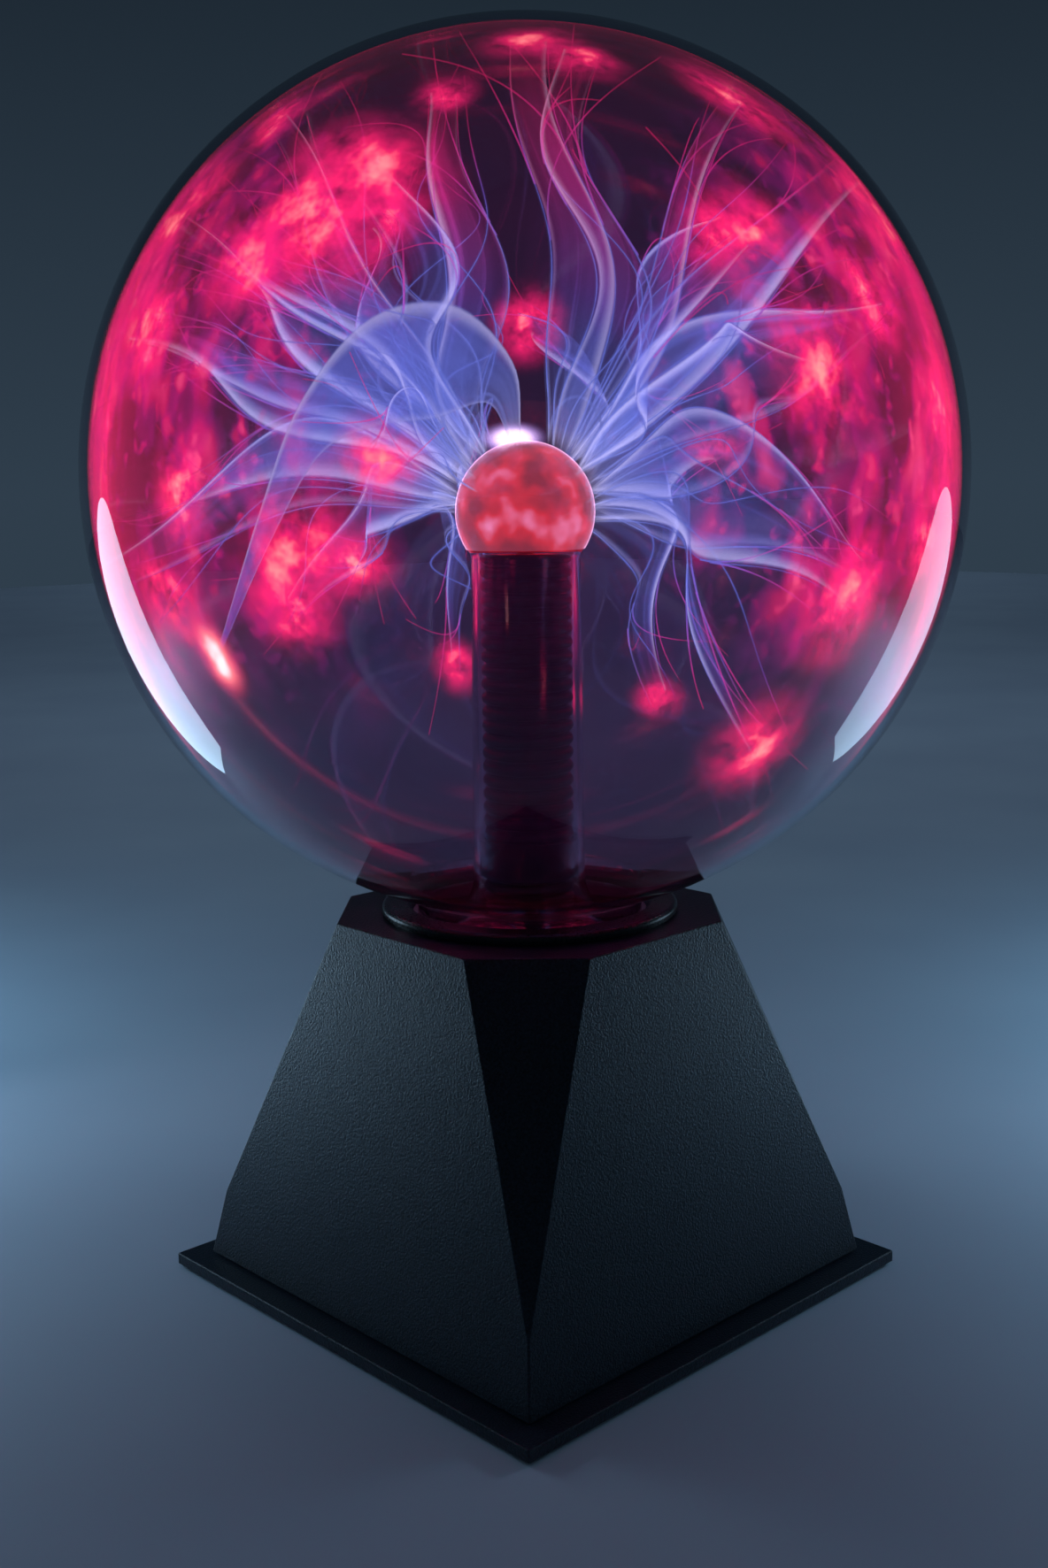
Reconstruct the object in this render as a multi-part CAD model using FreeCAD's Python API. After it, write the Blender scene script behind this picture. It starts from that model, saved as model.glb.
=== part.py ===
import FreeCAD, Part
import math
import os
from FreeCAD import Vector

# Plasma ball: a sealed glass globe with a glass stem and ball electrode at its centre, standing on a
# faceted, square, moulded base that holds the high-voltage driver. Millimetres, +Z up. The origin is the
# middle of the table face under the base. The two controls are on the +Y side.

# ---- Globe and stem glass ----
GLOBE_R = 100.0  # outside radius of the globe
GLOBE_WALL = 1.6
GLOBE_GAP = 0.7  # from the base's top face to the level of the sphere's lowest point
NECK_R = 27.0  # outside radius of the globe's short neck
NECK_DEPTH = 4.2  # how far the neck's end lies under the base's top face
NECK_FILLET = 4.0
STEM_R_FOOT = 13.5
STEM_R_TOP = 12.75
STEM_WALL = 1.4
BULB_R = 16.1  # the ball at the stem's top
BULB_DROP = 6.2  # the ball's centre is this far under the globe's centre
BULB_FILLET = 2.0
TIP_R = 3.0  # the sealed pumping tube under the flare
TIP_LENGTH = 13.0
TIP_SLEEVE_GAP = 3.7  # between the ribbed sleeve and the pumping tube
TIP_GAP = 0.3  # between the pumping tube and the collar's ledge

# ---- Electrode and lead inside the stem ----
CORE_GAP = 0.2  # between the glass ball and the conductive core in it
CORE_CUT = 8.6  # the core is cut off flat this far under the ball's centre
SLEEVE_GAP = 0.55
SLEEVE_PITCH = 3.3  # from rib to rib
SLEEVE_RIB = 1.1  # how far a rib stands out of its groove
SLEEVE_WALL = 1.3
SLEEVE_GROOVE = 0.5
SLEEVE_TAIL = 9.0  # how far the sleeve hangs out under the collar
BUSH_HEIGHT = 9.0
PIN_R = 2.2
PIN_LENGTH = 16.0
HV_LEAD_R = 1.5

# ---- Base shell ----
FOOT_STAND = 1.0  # from the table to the flange's underside
BODY_FOOT_HALF = 57.2  # half the square where the body meets the flange
FLANGE_WIDTH = 6.2  # how far the flange stands out past the body's foot
FLANGE_T = 2.7
BODY_TOP_HALF = 41.4  # half the square that the top face is cut from
BODY_HEIGHT = 88.5
FACET_START = 15.4  # height above the flange where each corner facet comes to a point
FACET_CUT = 19.3  # what each corner facet takes off a side of the top face
WALL = 2.5
EDGE_ROUND = 0.5
REVEAL_HEIGHT = 0.6  # the shadow gap between the body's foot and the flange
REVEAL_DEPTH = 0.8
BOSS_R = 4.0
BOSS_INSET = 18.2  # from the body's foot to each screw tower's middle
BOSS_PILOT_DEPTH = 14.0

# ---- Bottom cover, its screws and feet ----
LIP_T = 1.6
LIP_HEIGHT = 3.0
LIP_GAP = 0.3
SLOT_WIDTH = 2.4
SLOT_LENGTH = 22.0
SLOT_PITCH = 5.5
SLOTS_PER_SIDE = 5
SLOTS_AT_X = 15.0  # middle of each bank of slots
COVER_SCREW_R = 1.4
COVER_SCREW_HEAD_R = 2.9
COVER_SCREW_LENGTH = 12.0
SCREW_GAP = 0.1
FOOT_R = 5.5
FOOT_RECESS = 1.2
FOOT_INSET = 5.2  # from the body's foot to each rubber foot's middle

# ---- Collar that holds the globe ----
SEAL_WIDTH = 1.2  # sealant between the neck and the collar's bore
COLLAR_CHAMFER = 1.3
COLLAR_LAND = 6.0
COLLAR_HEIGHT = 2.5
COLLAR_ROUND = 1.2
COLLAR_REVEAL_HEIGHT = 0.5  # the shadow gap under the collar's rim
COLLAR_REVEAL_DEPTH = 1.0
SPIGOT_WALL = 2.8
LEDGE_T = 3.2
GASKET_T = 1.2
GASKET_SET_BACK = 0.5  # from the ledge's inner edge to the gasket's
NUT_T = 4.0
NUT_LAND = 6.0
NUT_NOTCHES = 8
FIT_GAP = 0.05

# ---- Circuit board and what stands on it ----
BOARD_SIDE_INSET = 19.2  # from the body's foot to the board's edge at each side
BOARD_FRONT_INSET = 25.2
BOARD_REAR_INSET = 35.2
BOARD_T = 1.6
BOARD_STAND = 7.0
BOARD_HOLE_INSET = 4.0
PAD_INSET = 1.5  # from the board's rear edge to the wires' pads
STANDOFF_R = 3.0
BOARD_SCREW_R = 1.1
BOARD_SCREW_HEAD_R = 2.3
BOARD_SCREW_LENGTH = 6.0
CARRIER_T = 2.0
LEAD_HEADROOM = 14.0  # from the transformer's top to the sleeve's lower end
LEG = 11.0  # side of the square ferrite legs
WINDOW = 15.0  # between the legs
TRANSFORMER_X = -2.0
TRANSFORMER_SET_BACK = 32.0  # from the board's rear edge to the transformer's middle
FORMER_WALL = 0.9
FORMER_GAP = 0.1
FLANGE_THIN = 1.0
FLANGE_REACH = 1.0  # how far a former's flanges stand out past its coil
HV_COIL_R = 14.4
HV_SECTIONS = 5
HV_BULGE = 0.2  # how far each ring of wire swells out, as a share of its height
PRIMARY_R = 9.0
PRIMARY_WIRE_R = 0.5
STRAP_T = 0.5
STRAP_WIDTH = 2.4
STRAP_GAP = 0.1
SINK_X = 28.0
SINK_T = 2.0
SINK_Y = 28.0
SINK_HEIGHT = 28.0
SINK_FIN = 6.0
SINK_FINS = 5

# ---- Rear panel: inlet, switch and microphone ----
PANEL_Z = 22.0  # height of all three on the rear face
JACK_X = -22.0
JACK_R = 5.0
JACK_FLANGE_R = 6.6
JACK_FLANGE_T = 1.4
JACK_LENGTH = 16.0
JACK_BORE_R = 2.8
JACK_BORE_DEPTH = 10.0
JACK_PIN_R = 1.05
JACK_PIN_SHORT = 0.8  # the contact pin ends this far inside the mouth
JACK_PIN_EDGE = 0.3
JACK_ROOT_R = 1.5  # the pin's thicker root, fixed in the socket's floor
JACK_ROOT_LENGTH = 3.0
JACK_NUT_FLATS = 14.0
JACK_NUT_T = 2.6
SWITCH_X = 24.0
SWITCH_STEP = 2.5  # travel from on to off, and from on to sound
KNOB_X = 4.0
KNOB_Y = 4.6
KNOB_OUT = 3.4
KNOB_GAP = 0.3
SLIDER_X = 8.0
SLIDER_Y = 5.4
SLIDER_T = 1.6
SWITCH_BODY_Y = 8.0
SWITCH_BODY_DEPTH = 7.5
SWITCH_BODY_WALL = 1.4
FRAME_T = 0.8
FRAME_EAR = 5.0
TAG_LENGTH = 4.0
SWITCH_SCREW_R = 1.0
SWITCH_SCREW_HEAD_R = 1.9
SWITCH_SCREW_LENGTH = 7.0
MIC_R = 4.8
MIC_DEPTH = 5.0
MIC_HOLE_R = 0.9
MIC_RING = 1.2

# ---- Worked out from the sizes above ----
ROOT2 = math.sqrt(2)
FLANGE_TOP = FOOT_STAND + FLANGE_T
BASE_TOP = FLANGE_TOP + BODY_HEIGHT
FLANGE_HALF = BODY_FOOT_HALF + FLANGE_WIDTH
BOSS_AT = BODY_FOOT_HALF - BOSS_INSET
FOOT_AT = BODY_FOOT_HALF - FOOT_INSET
FACET_Z = FLANGE_TOP + FACET_START
BOARD_Z = FLANGE_TOP + BOARD_STAND
BOARD_TOP = BOARD_Z + BOARD_T
BOARD_X = 2 * (BODY_FOOT_HALF - BOARD_SIDE_INSET)
BOARD_FRONT = BOARD_FRONT_INSET - BODY_FOOT_HALF
BOARD_REAR = BODY_FOOT_HALF - BOARD_REAR_INSET
TRANSFORMER_Y = BOARD_REAR - TRANSFORMER_SET_BACK
GLOBE_Z = BASE_TOP + GLOBE_GAP + GLOBE_R
BULB_Z = GLOBE_Z - BULB_DROP
NECK_END = BASE_TOP - NECK_DEPTH
NECK_BORE = NECK_R - GLOBE_WALL
RIM_Z = NECK_END - STEM_WALL
FLARE_R = NECK_BORE - STEM_R_FOOT
SLEEVE_R = STEM_R_TOP - STEM_WALL - SLEEVE_GAP
COLLAR_BORE = NECK_R + SEAL_WIDTH
COLLAR_MOUTH = COLLAR_BORE + COLLAR_CHAMFER
COLLAR_R = COLLAR_MOUTH + COLLAR_LAND
SPIGOT_R = COLLAR_BORE + SPIGOT_WALL
LEDGE_R = SLEEVE_R + TIP_SLEEVE_GAP + 2 * TIP_R + TIP_GAP
TIP_OFFSET = LEDGE_R - TIP_GAP - TIP_R
LEDGE_Z = RIM_Z - GASKET_T
COLLAR_FOOT = LEDGE_Z - LEDGE_T
SLEEVE_BORE = SLEEVE_R - SLEEVE_RIB - SLEEVE_WALL
SLEEVE_FOOT = COLLAR_FOOT - SLEEVE_TAIL
CORE_FOOT = BULB_Z - CORE_CUT
CORE_R = BULB_R - STEM_WALL - CORE_GAP
SIDE_LEAN = math.atan((BODY_FOOT_HALF - BODY_TOP_HALF) / BODY_HEIGHT)
CORE_TOP = SLEEVE_FOOT - LEAD_HEADROOM
FERRITE_FOOT = BOARD_TOP + CARRIER_T
FERRITE_MIDDLE = (CORE_TOP + FERRITE_FOOT) / 2
LEG_SPACING = LEG + WINDOW
HV_LEG_X = TRANSFORMER_X - LEG_SPACING / 2
PRIMARY_LEG_X = TRANSFORMER_X + LEG_SPACING / 2
WINDOW_FOOT = FERRITE_FOOT + LEG
WINDOW_TOP = CORE_TOP - LEG
FORMER_R = (LEG / 2 + FORMER_GAP) * ROOT2 + FORMER_WALL
PRIMARY_ROOM = WINDOW_TOP - WINDOW_FOOT - 2 * (FORMER_GAP + FLANGE_THIN + FIT_GAP)
PRIMARY_TURNS = int(PRIMARY_ROOM / (2 * PRIMARY_WIRE_R))


# ---- Shape helpers ----
def box(low, high):
    """Box between two corners."""
    size = [b - a for a, b in zip(low, high)]
    return Part.makeBox(*size, Vector(*low))


def cylinder(radius, z_low, z_high, x=0.0, y=0.0):
    """Upright cylinder."""
    return Part.makeCylinder(radius, z_high - z_low, Vector(x, y, z_low))


def ring(inside, outside, z_low, z_high, x=0.0, y=0.0):
    """Upright ring."""
    return cylinder(outside, z_low, z_high, x, y).cut(cylinder(inside, z_low - 1, z_high + 1, x, y))


def fused(*shapes):
    """Shapes joined into one, with their shared faces merged."""
    return shapes[0].multiFuse(list(shapes[1:])).removeSplitter()


def on_circle(centre, radius, degrees):
    """Point (r, z) on a circle of a turned outline."""
    turn = math.radians(degrees)
    return (centre[0] + radius * math.cos(turn), centre[1] + radius * math.sin(turn))


def arc(centre, radius, start, end):
    """Outline item for an arc from start to end, in degrees."""
    return ("arc", on_circle(centre, radius, (start + end) / 2), on_circle(centre, radius, end))


def turned(outline, x=0.0, y=0.0):
    """Solid turned about an upright axis. The outline holds (r, z) corners and arc() items."""
    here = first = Vector(outline[0][0], 0, outline[0][1])
    edges = []
    for item in outline[1:] + [outline[0]]:
        if item[0] == "arc":
            middle = Vector(item[1][0], 0, item[1][1])
            there = Vector(item[2][0], 0, item[2][1])
            edges.append(Part.Arc(here, middle, there).toShape())
        else:
            there = first if item is outline[0] else Vector(item[0], 0, item[1])
            if (there - here).Length < 1e-7:
                continue
            edges.append(Part.LineSegment(here, there).toShape())
        here = there
    face = Part.Face(Part.Wire(edges))
    solid = face.revolve(Vector(0, 0, 0), Vector(0, 0, 1), 360)
    solid = Part.Solid(solid.Shells[0]) if solid.ShapeType != "Solid" else solid
    solid.translate(Vector(x, y, 0))
    return solid


def polyhedron(faces):
    """Solid with flat faces, each a list of corners that runs anticlockwise seen from outside."""
    return Part.Solid(Part.Shell([Part.Face(Part.makePolygon(list(f) + [f[0]])) for f in faces]))


def cable(points, radius):
    """Round lead along straight runs joined by tangent arcs."""
    points = [Vector(*p) for p in points]
    edges = []
    here = points[0]
    for before, corner, after in zip(points, points[1:], points[2:]):
        back, on = before - corner, after - corner
        turn = math.pi - back.getAngle(on)
        shorter = min(back.Length, on.Length)
        bend = 0.45 * shorter / math.tan(turn / 2)
        back.normalize()
        on.normalize()
        start, end = corner + back * 0.45 * shorter, corner + on * 0.45 * shorter
        inward = (back + on).normalize()
        centre = corner + inward * (bend / math.cos(turn / 2))
        edges.append(Part.LineSegment(here, start).toShape())
        edges.append(Part.Arc(start, centre - inward * bend, end).toShape())
        here = end
    edges.append(Part.LineSegment(here, points[-1]).toShape())
    path = Part.Wire(edges)
    section = Part.Wire(Part.makeCircle(radius, points[0], points[1] - points[0]))
    return path.makePipeShell([section], True, False)


def on_panel(shape, x):
    """Moves a shape modelled on the rear panel to its place: local +Z points out of the rear face, local
    +Y up it, and the local origin lies on the face's outside at height PANEL_Z."""
    lean_cos, lean_sin = math.cos(SIDE_LEAN), math.sin(SIDE_LEAN)
    face_y = side_half(PANEL_Z)
    matrix = FreeCAD.Matrix(
        -1, 0, 0, x,
        0, -lean_sin, lean_cos, face_y,
        0, lean_cos, lean_sin, PANEL_Z,
        0, 0, 0, 1,
    )
    moved = shape.copy()
    moved.Placement = FreeCAD.Placement(matrix).multiply(moved.Placement)
    return moved


def panel_point(x, up, out):
    """Point in the part's frame, from the panel's local height and depth."""
    lean_cos, lean_sin = math.cos(SIDE_LEAN), math.sin(SIDE_LEAN)
    return (x, side_half(PANEL_Z) - up * lean_sin + out * lean_cos, PANEL_Z + up * lean_cos + out * lean_sin)


def at_corners(shape, reach_x, reach_y, middle_y=0.0):
    """Four copies of a shape, one at each corner of a rectangle."""
    copies = []
    for sign_x in (-1, 1):
        for sign_y in (-1, 1):
            copy = shape.copy()
            copy.translate(Vector(sign_x * reach_x, middle_y + sign_y * reach_y, 0))
            copies.append(copy)
    return copies


# ---- Base ----
def side_half(z):
    """Half the width of the body's square section at height z, before its corners are cut."""
    return BODY_FOOT_HALF - (z - FLANGE_TOP) * math.tan(SIDE_LEAN)


def body_section(inset, z):
    """Half width and corner cut of the body's section at height z, with all faces moved in by inset."""
    facet_rise = BASE_TOP - FACET_Z
    diagonal_foot = ROOT2 * side_half(FACET_Z)
    diagonal_top = (2 * BODY_TOP_HALF - FACET_CUT) / ROOT2
    facet_lean = math.atan((diagonal_foot - diagonal_top) / facet_rise)
    half = side_half(z) - inset / math.cos(SIDE_LEAN)
    diagonal = diagonal_foot - (z - FACET_Z) * math.tan(facet_lean) - inset / math.cos(facet_lean)
    return half, 2 * half - ROOT2 * diagonal


def tapered_body(inset, z_low, z_high):
    """The body between two heights with its faces moved in by inset: a square foot, sides that lean in,
    and corner facets that start at a point and widen to the octagonal top."""
    low_half, low_cut = body_section(inset, z_low)
    high_half, high_cut = body_section(inset, z_high)
    z_point = z_low + (z_high - z_low) * low_cut / (low_cut - high_cut)
    point_half = body_section(inset, z_point)[0]
    foot, points, tops = [], [], []
    for quarter in range(4):
        turn = FreeCAD.Rotation(Vector(0, 0, 1), 90 * quarter)
        foot.append(turn.multVec(Vector(low_half, low_half, z_low)))
        points.append(turn.multVec(Vector(point_half, point_half, z_point)))
        tops.append(
            (
                turn.multVec(Vector(high_half, high_half - high_cut, z_high)),
                turn.multVec(Vector(high_half - high_cut, high_half, z_high)),
            )
        )
    faces = [foot[::-1], [corner for pair in tops for corner in pair]]
    for here in range(4):
        after = (here + 1) % 4
        faces.append([points[here], *tops[here][::-1]])
        faces.append([foot[here], foot[after], points[after], tops[after][0], tops[here][1], points[here]])
    return polyhedron(faces)


def make_base_shell():
    """Moulded housing with no floor: faceted sides, a shadow gap at the foot, four screw towers, a hole
    for the collar, and the rear panel's openings."""
    foot = FLANGE_TOP + REVEAL_HEIGHT
    body = tapered_body(0, foot, BASE_TOP)
    body = body.makeFillet(EDGE_ROUND, [e for e in body.Edges if e.BoundBox.ZMax > foot + 1e-6])
    shell = fused(body, tapered_body(REVEAL_DEPTH, FLANGE_TOP, foot + REVEAL_HEIGHT))
    shell = shell.cut(tapered_body(WALL, 0, BASE_TOP - WALL))
    tower_room = tapered_body(WALL / 2, 0, BASE_TOP - WALL / 2)
    towers = at_corners(cylinder(BOSS_R, FLANGE_TOP, BASE_TOP), BOSS_AT, BOSS_AT)
    ring_depth = WALL + MIC_DEPTH
    mic_bore = MIC_R + FIT_GAP
    mic_ring = on_panel(ring(mic_bore, mic_bore + MIC_RING, -ring_depth, -WALL / 2), 0)
    shell = fused(shell, *[t.common(tower_room) for t in towers], mic_ring)
    pilots = at_corners(
        cylinder(COVER_SCREW_R + FIT_GAP, FLANGE_TOP - 1, FLANGE_TOP + BOSS_PILOT_DEPTH), BOSS_AT, BOSS_AT
    )
    slot_x = KNOB_X / 2 + SWITCH_STEP + KNOB_GAP
    slot_y = KNOB_Y / 2 + KNOB_GAP
    openings = [
        cylinder(SPIGOT_R + FIT_GAP, BASE_TOP - 2 * WALL, BASE_TOP + 1),
        on_panel(cylinder(JACK_R + FIT_GAP, -3 * WALL, 1), JACK_X),
        on_panel(box((-slot_x, -slot_y, -3 * WALL), (slot_x, slot_y, 1)), SWITCH_X),
        on_panel(cylinder(MIC_HOLE_R, -2 * WALL, 1), 0),
    ]
    for side in (-1, 1):
        openings.append(on_panel(cylinder(SWITCH_SCREW_R + FIT_GAP, -3 * WALL, 1, side * ear_x()), SWITCH_X))
    return shell.cut(Part.makeCompound(pilots + openings))


def make_bottom_cover():
    """Square plate that closes the base and stands out round it as a flange. It has a lip that fits in
    the shell, the board's standoffs, vent slots, countersunk screw holes and a recess for each foot."""
    plate = box((-FLANGE_HALF, -FLANGE_HALF, FOOT_STAND), (FLANGE_HALF, FLANGE_HALF, FLANGE_TOP))
    plate = plate.makeFillet(EDGE_ROUND, [e for e in plate.Edges if e.BoundBox.ZMax > FLANGE_TOP - 1e-6])
    lip_top = FLANGE_TOP + LIP_HEIGHT
    outer = body_section(WALL, lip_top)[0] - LIP_GAP
    inner = outer - LIP_T
    lip = box((-outer, -outer, FLANGE_TOP - EDGE_ROUND), (outer, outer, lip_top))
    lip = lip.cut(box((-inner, -inner, FLANGE_TOP - 1), (inner, inner, lip_top)))
    standoffs = board_corners(cylinder(STANDOFF_R, FLANGE_TOP - EDGE_ROUND, BOARD_Z))
    cover = fused(plate, lip, *standoffs)
    screw_hole = fused(
        cylinder(COVER_SCREW_R + SCREW_GAP, FOOT_STAND - 1, FLANGE_TOP + 1),
        turned(countersink(SCREW_GAP)),
    )
    cuts = at_corners(screw_hole, BOSS_AT, BOSS_AT)
    cuts += at_corners(cylinder(FOOT_R + FIT_GAP, 0, FOOT_STAND + FOOT_RECESS), FOOT_AT, FOOT_AT)
    cuts += board_corners(cylinder(BOARD_SCREW_R + FIT_GAP, FLANGE_TOP, BOARD_Z + 1))
    slot = box((-SLOT_LENGTH / 2, -SLOT_WIDTH / 2, 0), (SLOT_LENGTH / 2, SLOT_WIDTH / 2, FLANGE_TOP + 1))
    for side in (-1, 1):
        for number in range(SLOTS_PER_SIDE):
            vent = slot.copy()
            vent.translate(Vector(side * SLOTS_AT_X, (number - (SLOTS_PER_SIDE - 1) / 2) * SLOT_PITCH, 0))
            cuts.append(vent)
    return cover.cut(Part.makeCompound(cuts))


def countersink(gap):
    """Turned outline of a countersunk head, grown by gap, with its flat side at the cover's underside."""
    depth = COVER_SCREW_HEAD_R - COVER_SCREW_R
    return [
        (0, FOOT_STAND),
        (COVER_SCREW_HEAD_R + gap, FOOT_STAND),
        (COVER_SCREW_R + gap, FOOT_STAND + depth),
        (0, FOOT_STAND + depth),
    ]


def cross_slot(depth, width, reach):
    """Cross recess of a screw head, cut from z 0 upward."""
    bar = box((-reach, -width / 2, -1), (reach, width / 2, depth))
    other = bar.copy()
    other.rotate(Vector(0, 0, 0), Vector(0, 0, 1), 90)
    return bar.fuse(other)


def make_cover_screws():
    """Four countersunk screws that go up through the cover into the towers."""
    shank = cylinder(COVER_SCREW_R, FOOT_STAND, FOOT_STAND + COVER_SCREW_LENGTH)
    recess = cross_slot(1.0, 0.8, 1.7)
    recess.translate(Vector(0, 0, FOOT_STAND))
    screw = fused(turned(countersink(0)), shank).cut(recess)
    return at_corners(screw, BOSS_AT, BOSS_AT)


def make_rubber_feet():
    """Four round feet stuck in the cover's recesses."""
    top = FOOT_STAND + FOOT_RECESS
    edge = 0.4
    foot = turned([(0, 0), (FOOT_R - edge, 0), (FOOT_R, edge), (FOOT_R, top), (0, top)])
    return at_corners(foot, FOOT_AT, FOOT_AT)


# ---- Collar ----
def make_collar_ring():
    """Round collar on the top face. Its spigot goes down through the base and has a ledge for the glass."""
    top = BASE_TOP + COLLAR_HEIGHT
    return turned(
        [
            (LEDGE_R, COLLAR_FOOT),
            (SPIGOT_R, COLLAR_FOOT),
            (SPIGOT_R, BASE_TOP),
            (COLLAR_R - COLLAR_REVEAL_DEPTH, BASE_TOP),
            (COLLAR_R - COLLAR_REVEAL_DEPTH, BASE_TOP + COLLAR_REVEAL_HEIGHT),
            (COLLAR_R, BASE_TOP + COLLAR_REVEAL_HEIGHT),
            (COLLAR_R, top - COLLAR_ROUND),
            arc((COLLAR_R - COLLAR_ROUND, top - COLLAR_ROUND), COLLAR_ROUND, 0, 90),
            (COLLAR_MOUTH, top),
            (COLLAR_BORE, top - COLLAR_CHAMFER),
            (COLLAR_BORE, LEDGE_Z),
            (LEDGE_R, LEDGE_Z),
        ]
    )


def make_neck_gasket():
    """Soft ring between the collar's ledge and the glass rim."""
    return ring(LEDGE_R + GASKET_SET_BACK, NECK_R, LEDGE_Z, RIM_Z)


def make_neck_sealant():
    """Silicone that bonds the neck in the collar's bore."""
    return ring(NECK_R + FIT_GAP, COLLAR_BORE - FIT_GAP, RIM_Z, BASE_TOP)


def make_collar_nut():
    """Notched ring nut that clamps the collar from inside the base."""
    top = BASE_TOP - WALL
    outside = SPIGOT_R + NUT_LAND
    nut = ring(SPIGOT_R + FIT_GAP, outside, top - NUT_T, top)
    notch = box((outside - 1.5, -2, top - NUT_T - 1), (outside + 2, 2, top - 1))
    notches = []
    for number in range(NUT_NOTCHES):
        cut = notch.copy()
        cut.rotate(Vector(0, 0, 0), Vector(0, 0, 1), 360 * (number + 0.5) / NUT_NOTCHES)
        notches.append(cut)
    return nut.cut(Part.makeCompound(notches))


# ---- Glass ----
def make_globe_glass():
    """Spherical glass wall with a short neck, of one thickness all over."""
    fillet_r = NECK_R + NECK_FILLET
    fillet_z = GLOBE_Z - math.sqrt((GLOBE_R + NECK_FILLET) ** 2 - fillet_r**2)
    corner = (fillet_r, fillet_z)
    centre = (0, GLOBE_Z)
    leave = math.degrees(math.atan2(fillet_z - GLOBE_Z, fillet_r))
    inner_r = GLOBE_R - GLOBE_WALL
    inner_fillet = NECK_FILLET + GLOBE_WALL
    return turned(
        [
            (NECK_R, NECK_END),
            (NECK_R, fillet_z),
            arc(corner, NECK_FILLET, 180, 180 + leave),
            arc(centre, GLOBE_R, leave, 90),
            (0, GLOBE_Z + inner_r),
            arc(centre, inner_r, 90, leave),
            arc(corner, inner_fillet, 180 + leave, 180),
            (NECK_BORE, NECK_END),
        ]
    )


def make_stem_glass():
    """Glass tube with a closed ball on top and a flare below, fused to the end of the globe's neck."""
    flare = (NECK_BORE, NECK_END + FLARE_R)
    fillet_r = STEM_R_TOP + BULB_FILLET
    fillet_z = BULB_Z - math.sqrt((BULB_R + BULB_FILLET) ** 2 - fillet_r**2)
    corner = (fillet_r, fillet_z)
    centre = (0, BULB_Z)
    leave = math.degrees(math.atan2(fillet_z - BULB_Z, fillet_r))
    return turned(
        [
            (NECK_R, NECK_END),
            (NECK_BORE, NECK_END),
            arc(flare, FLARE_R, 270, 180),
            (STEM_R_TOP, fillet_z),
            arc(corner, BULB_FILLET, 180, 180 + leave),
            arc(centre, BULB_R, leave, 90),
            (0, BULB_Z + BULB_R - STEM_WALL),
            arc(centre, BULB_R - STEM_WALL, 90, leave),
            arc(corner, BULB_FILLET + STEM_WALL, 180 + leave, 180),
            (STEM_R_FOOT - STEM_WALL, NECK_END + FLARE_R),
            arc(flare, FLARE_R + STEM_WALL, 180, 270),
            (NECK_R, RIM_Z),
        ]
    )


def make_exhaust_tip(stem):
    """Pumping tube under the flare, drawn to a sealed point."""
    foot = RIM_Z - TIP_LENGTH
    blank = turned(
        [
            (0, foot),
            (TIP_R * 0.3, foot + TIP_R * 0.4),
            (TIP_R, foot + TIP_R * 2),
            (TIP_R, NECK_END + FLARE_R / 2),
            (0, NECK_END + FLARE_R / 2),
        ],
        x=TIP_OFFSET,
    )
    pieces = blank.cut(stem).Solids
    return min(pieces, key=lambda s: s.CenterOfMass.z)


# ---- Electrode and lead ----
def make_electrode_core():
    """Conductive filling of the glass ball, with a socket for the lead's pin."""
    ball = Part.makeSphere(CORE_R, Vector(0, 0, BULB_Z))
    ball = ball.cut(box((-CORE_R, -CORE_R, BULB_Z - 2 * CORE_R), (CORE_R, CORE_R, CORE_FOOT)))
    return ball.cut(cylinder(PIN_R + FIT_GAP, CORE_FOOT - 1, CORE_FOOT + PIN_LENGTH / 2))


def make_electrode_pin():
    """Brass pin on the end of the lead, half of it in the core."""
    shoulder_r = SLEEVE_BORE - 2 * FIT_GAP
    foot, top = CORE_FOOT - PIN_LENGTH / 2, CORE_FOOT + PIN_LENGTH / 2
    body = turned(
        [
            (0, foot),
            (shoulder_r, foot),
            (shoulder_r, foot + PIN_LENGTH / 4),
            (PIN_R, foot + PIN_LENGTH / 4),
            (PIN_R, top - PIN_R / 2),
            (PIN_R / 2, top),
            (0, top),
        ]
    )
    return body.cut(cylinder(HV_LEAD_R + FIT_GAP, foot - 1, foot + PIN_LENGTH / 4))


def make_ribbed_sleeve():
    """Corrugated tube round the lead, from the base up to the core."""
    top = CORE_FOOT - 0.5
    count = round((top - SLEEVE_FOOT) / SLEEVE_PITCH)
    pitch = (top - SLEEVE_FOOT) / count
    groove_r = SLEEVE_R - SLEEVE_RIB
    outline = [(SLEEVE_BORE, SLEEVE_FOOT), (groove_r, SLEEVE_FOOT)]
    for number in range(count):
        start = SLEEVE_FOOT + number * pitch + SLEEVE_GROOVE
        end = SLEEVE_FOOT + (number + 1) * pitch
        outline.append((groove_r, start))
        outline.append(("arc", (SLEEVE_R, (start + end) / 2), (groove_r, end)))
    outline.append((SLEEVE_BORE, top))
    return turned(outline)


def make_sleeve_bush():
    """Rubber bush that centres the sleeve in the stem's foot."""
    foot = NECK_END + FLARE_R + 1
    widening = (STEM_R_FOOT - STEM_R_TOP) / (BULB_Z - foot)
    low_r = STEM_R_FOOT - STEM_WALL - FIT_GAP - widening * BUSH_HEIGHT - 0.05
    return ring(SLEEVE_R + FIT_GAP, low_r, foot, foot + BUSH_HEIGHT)


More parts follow.
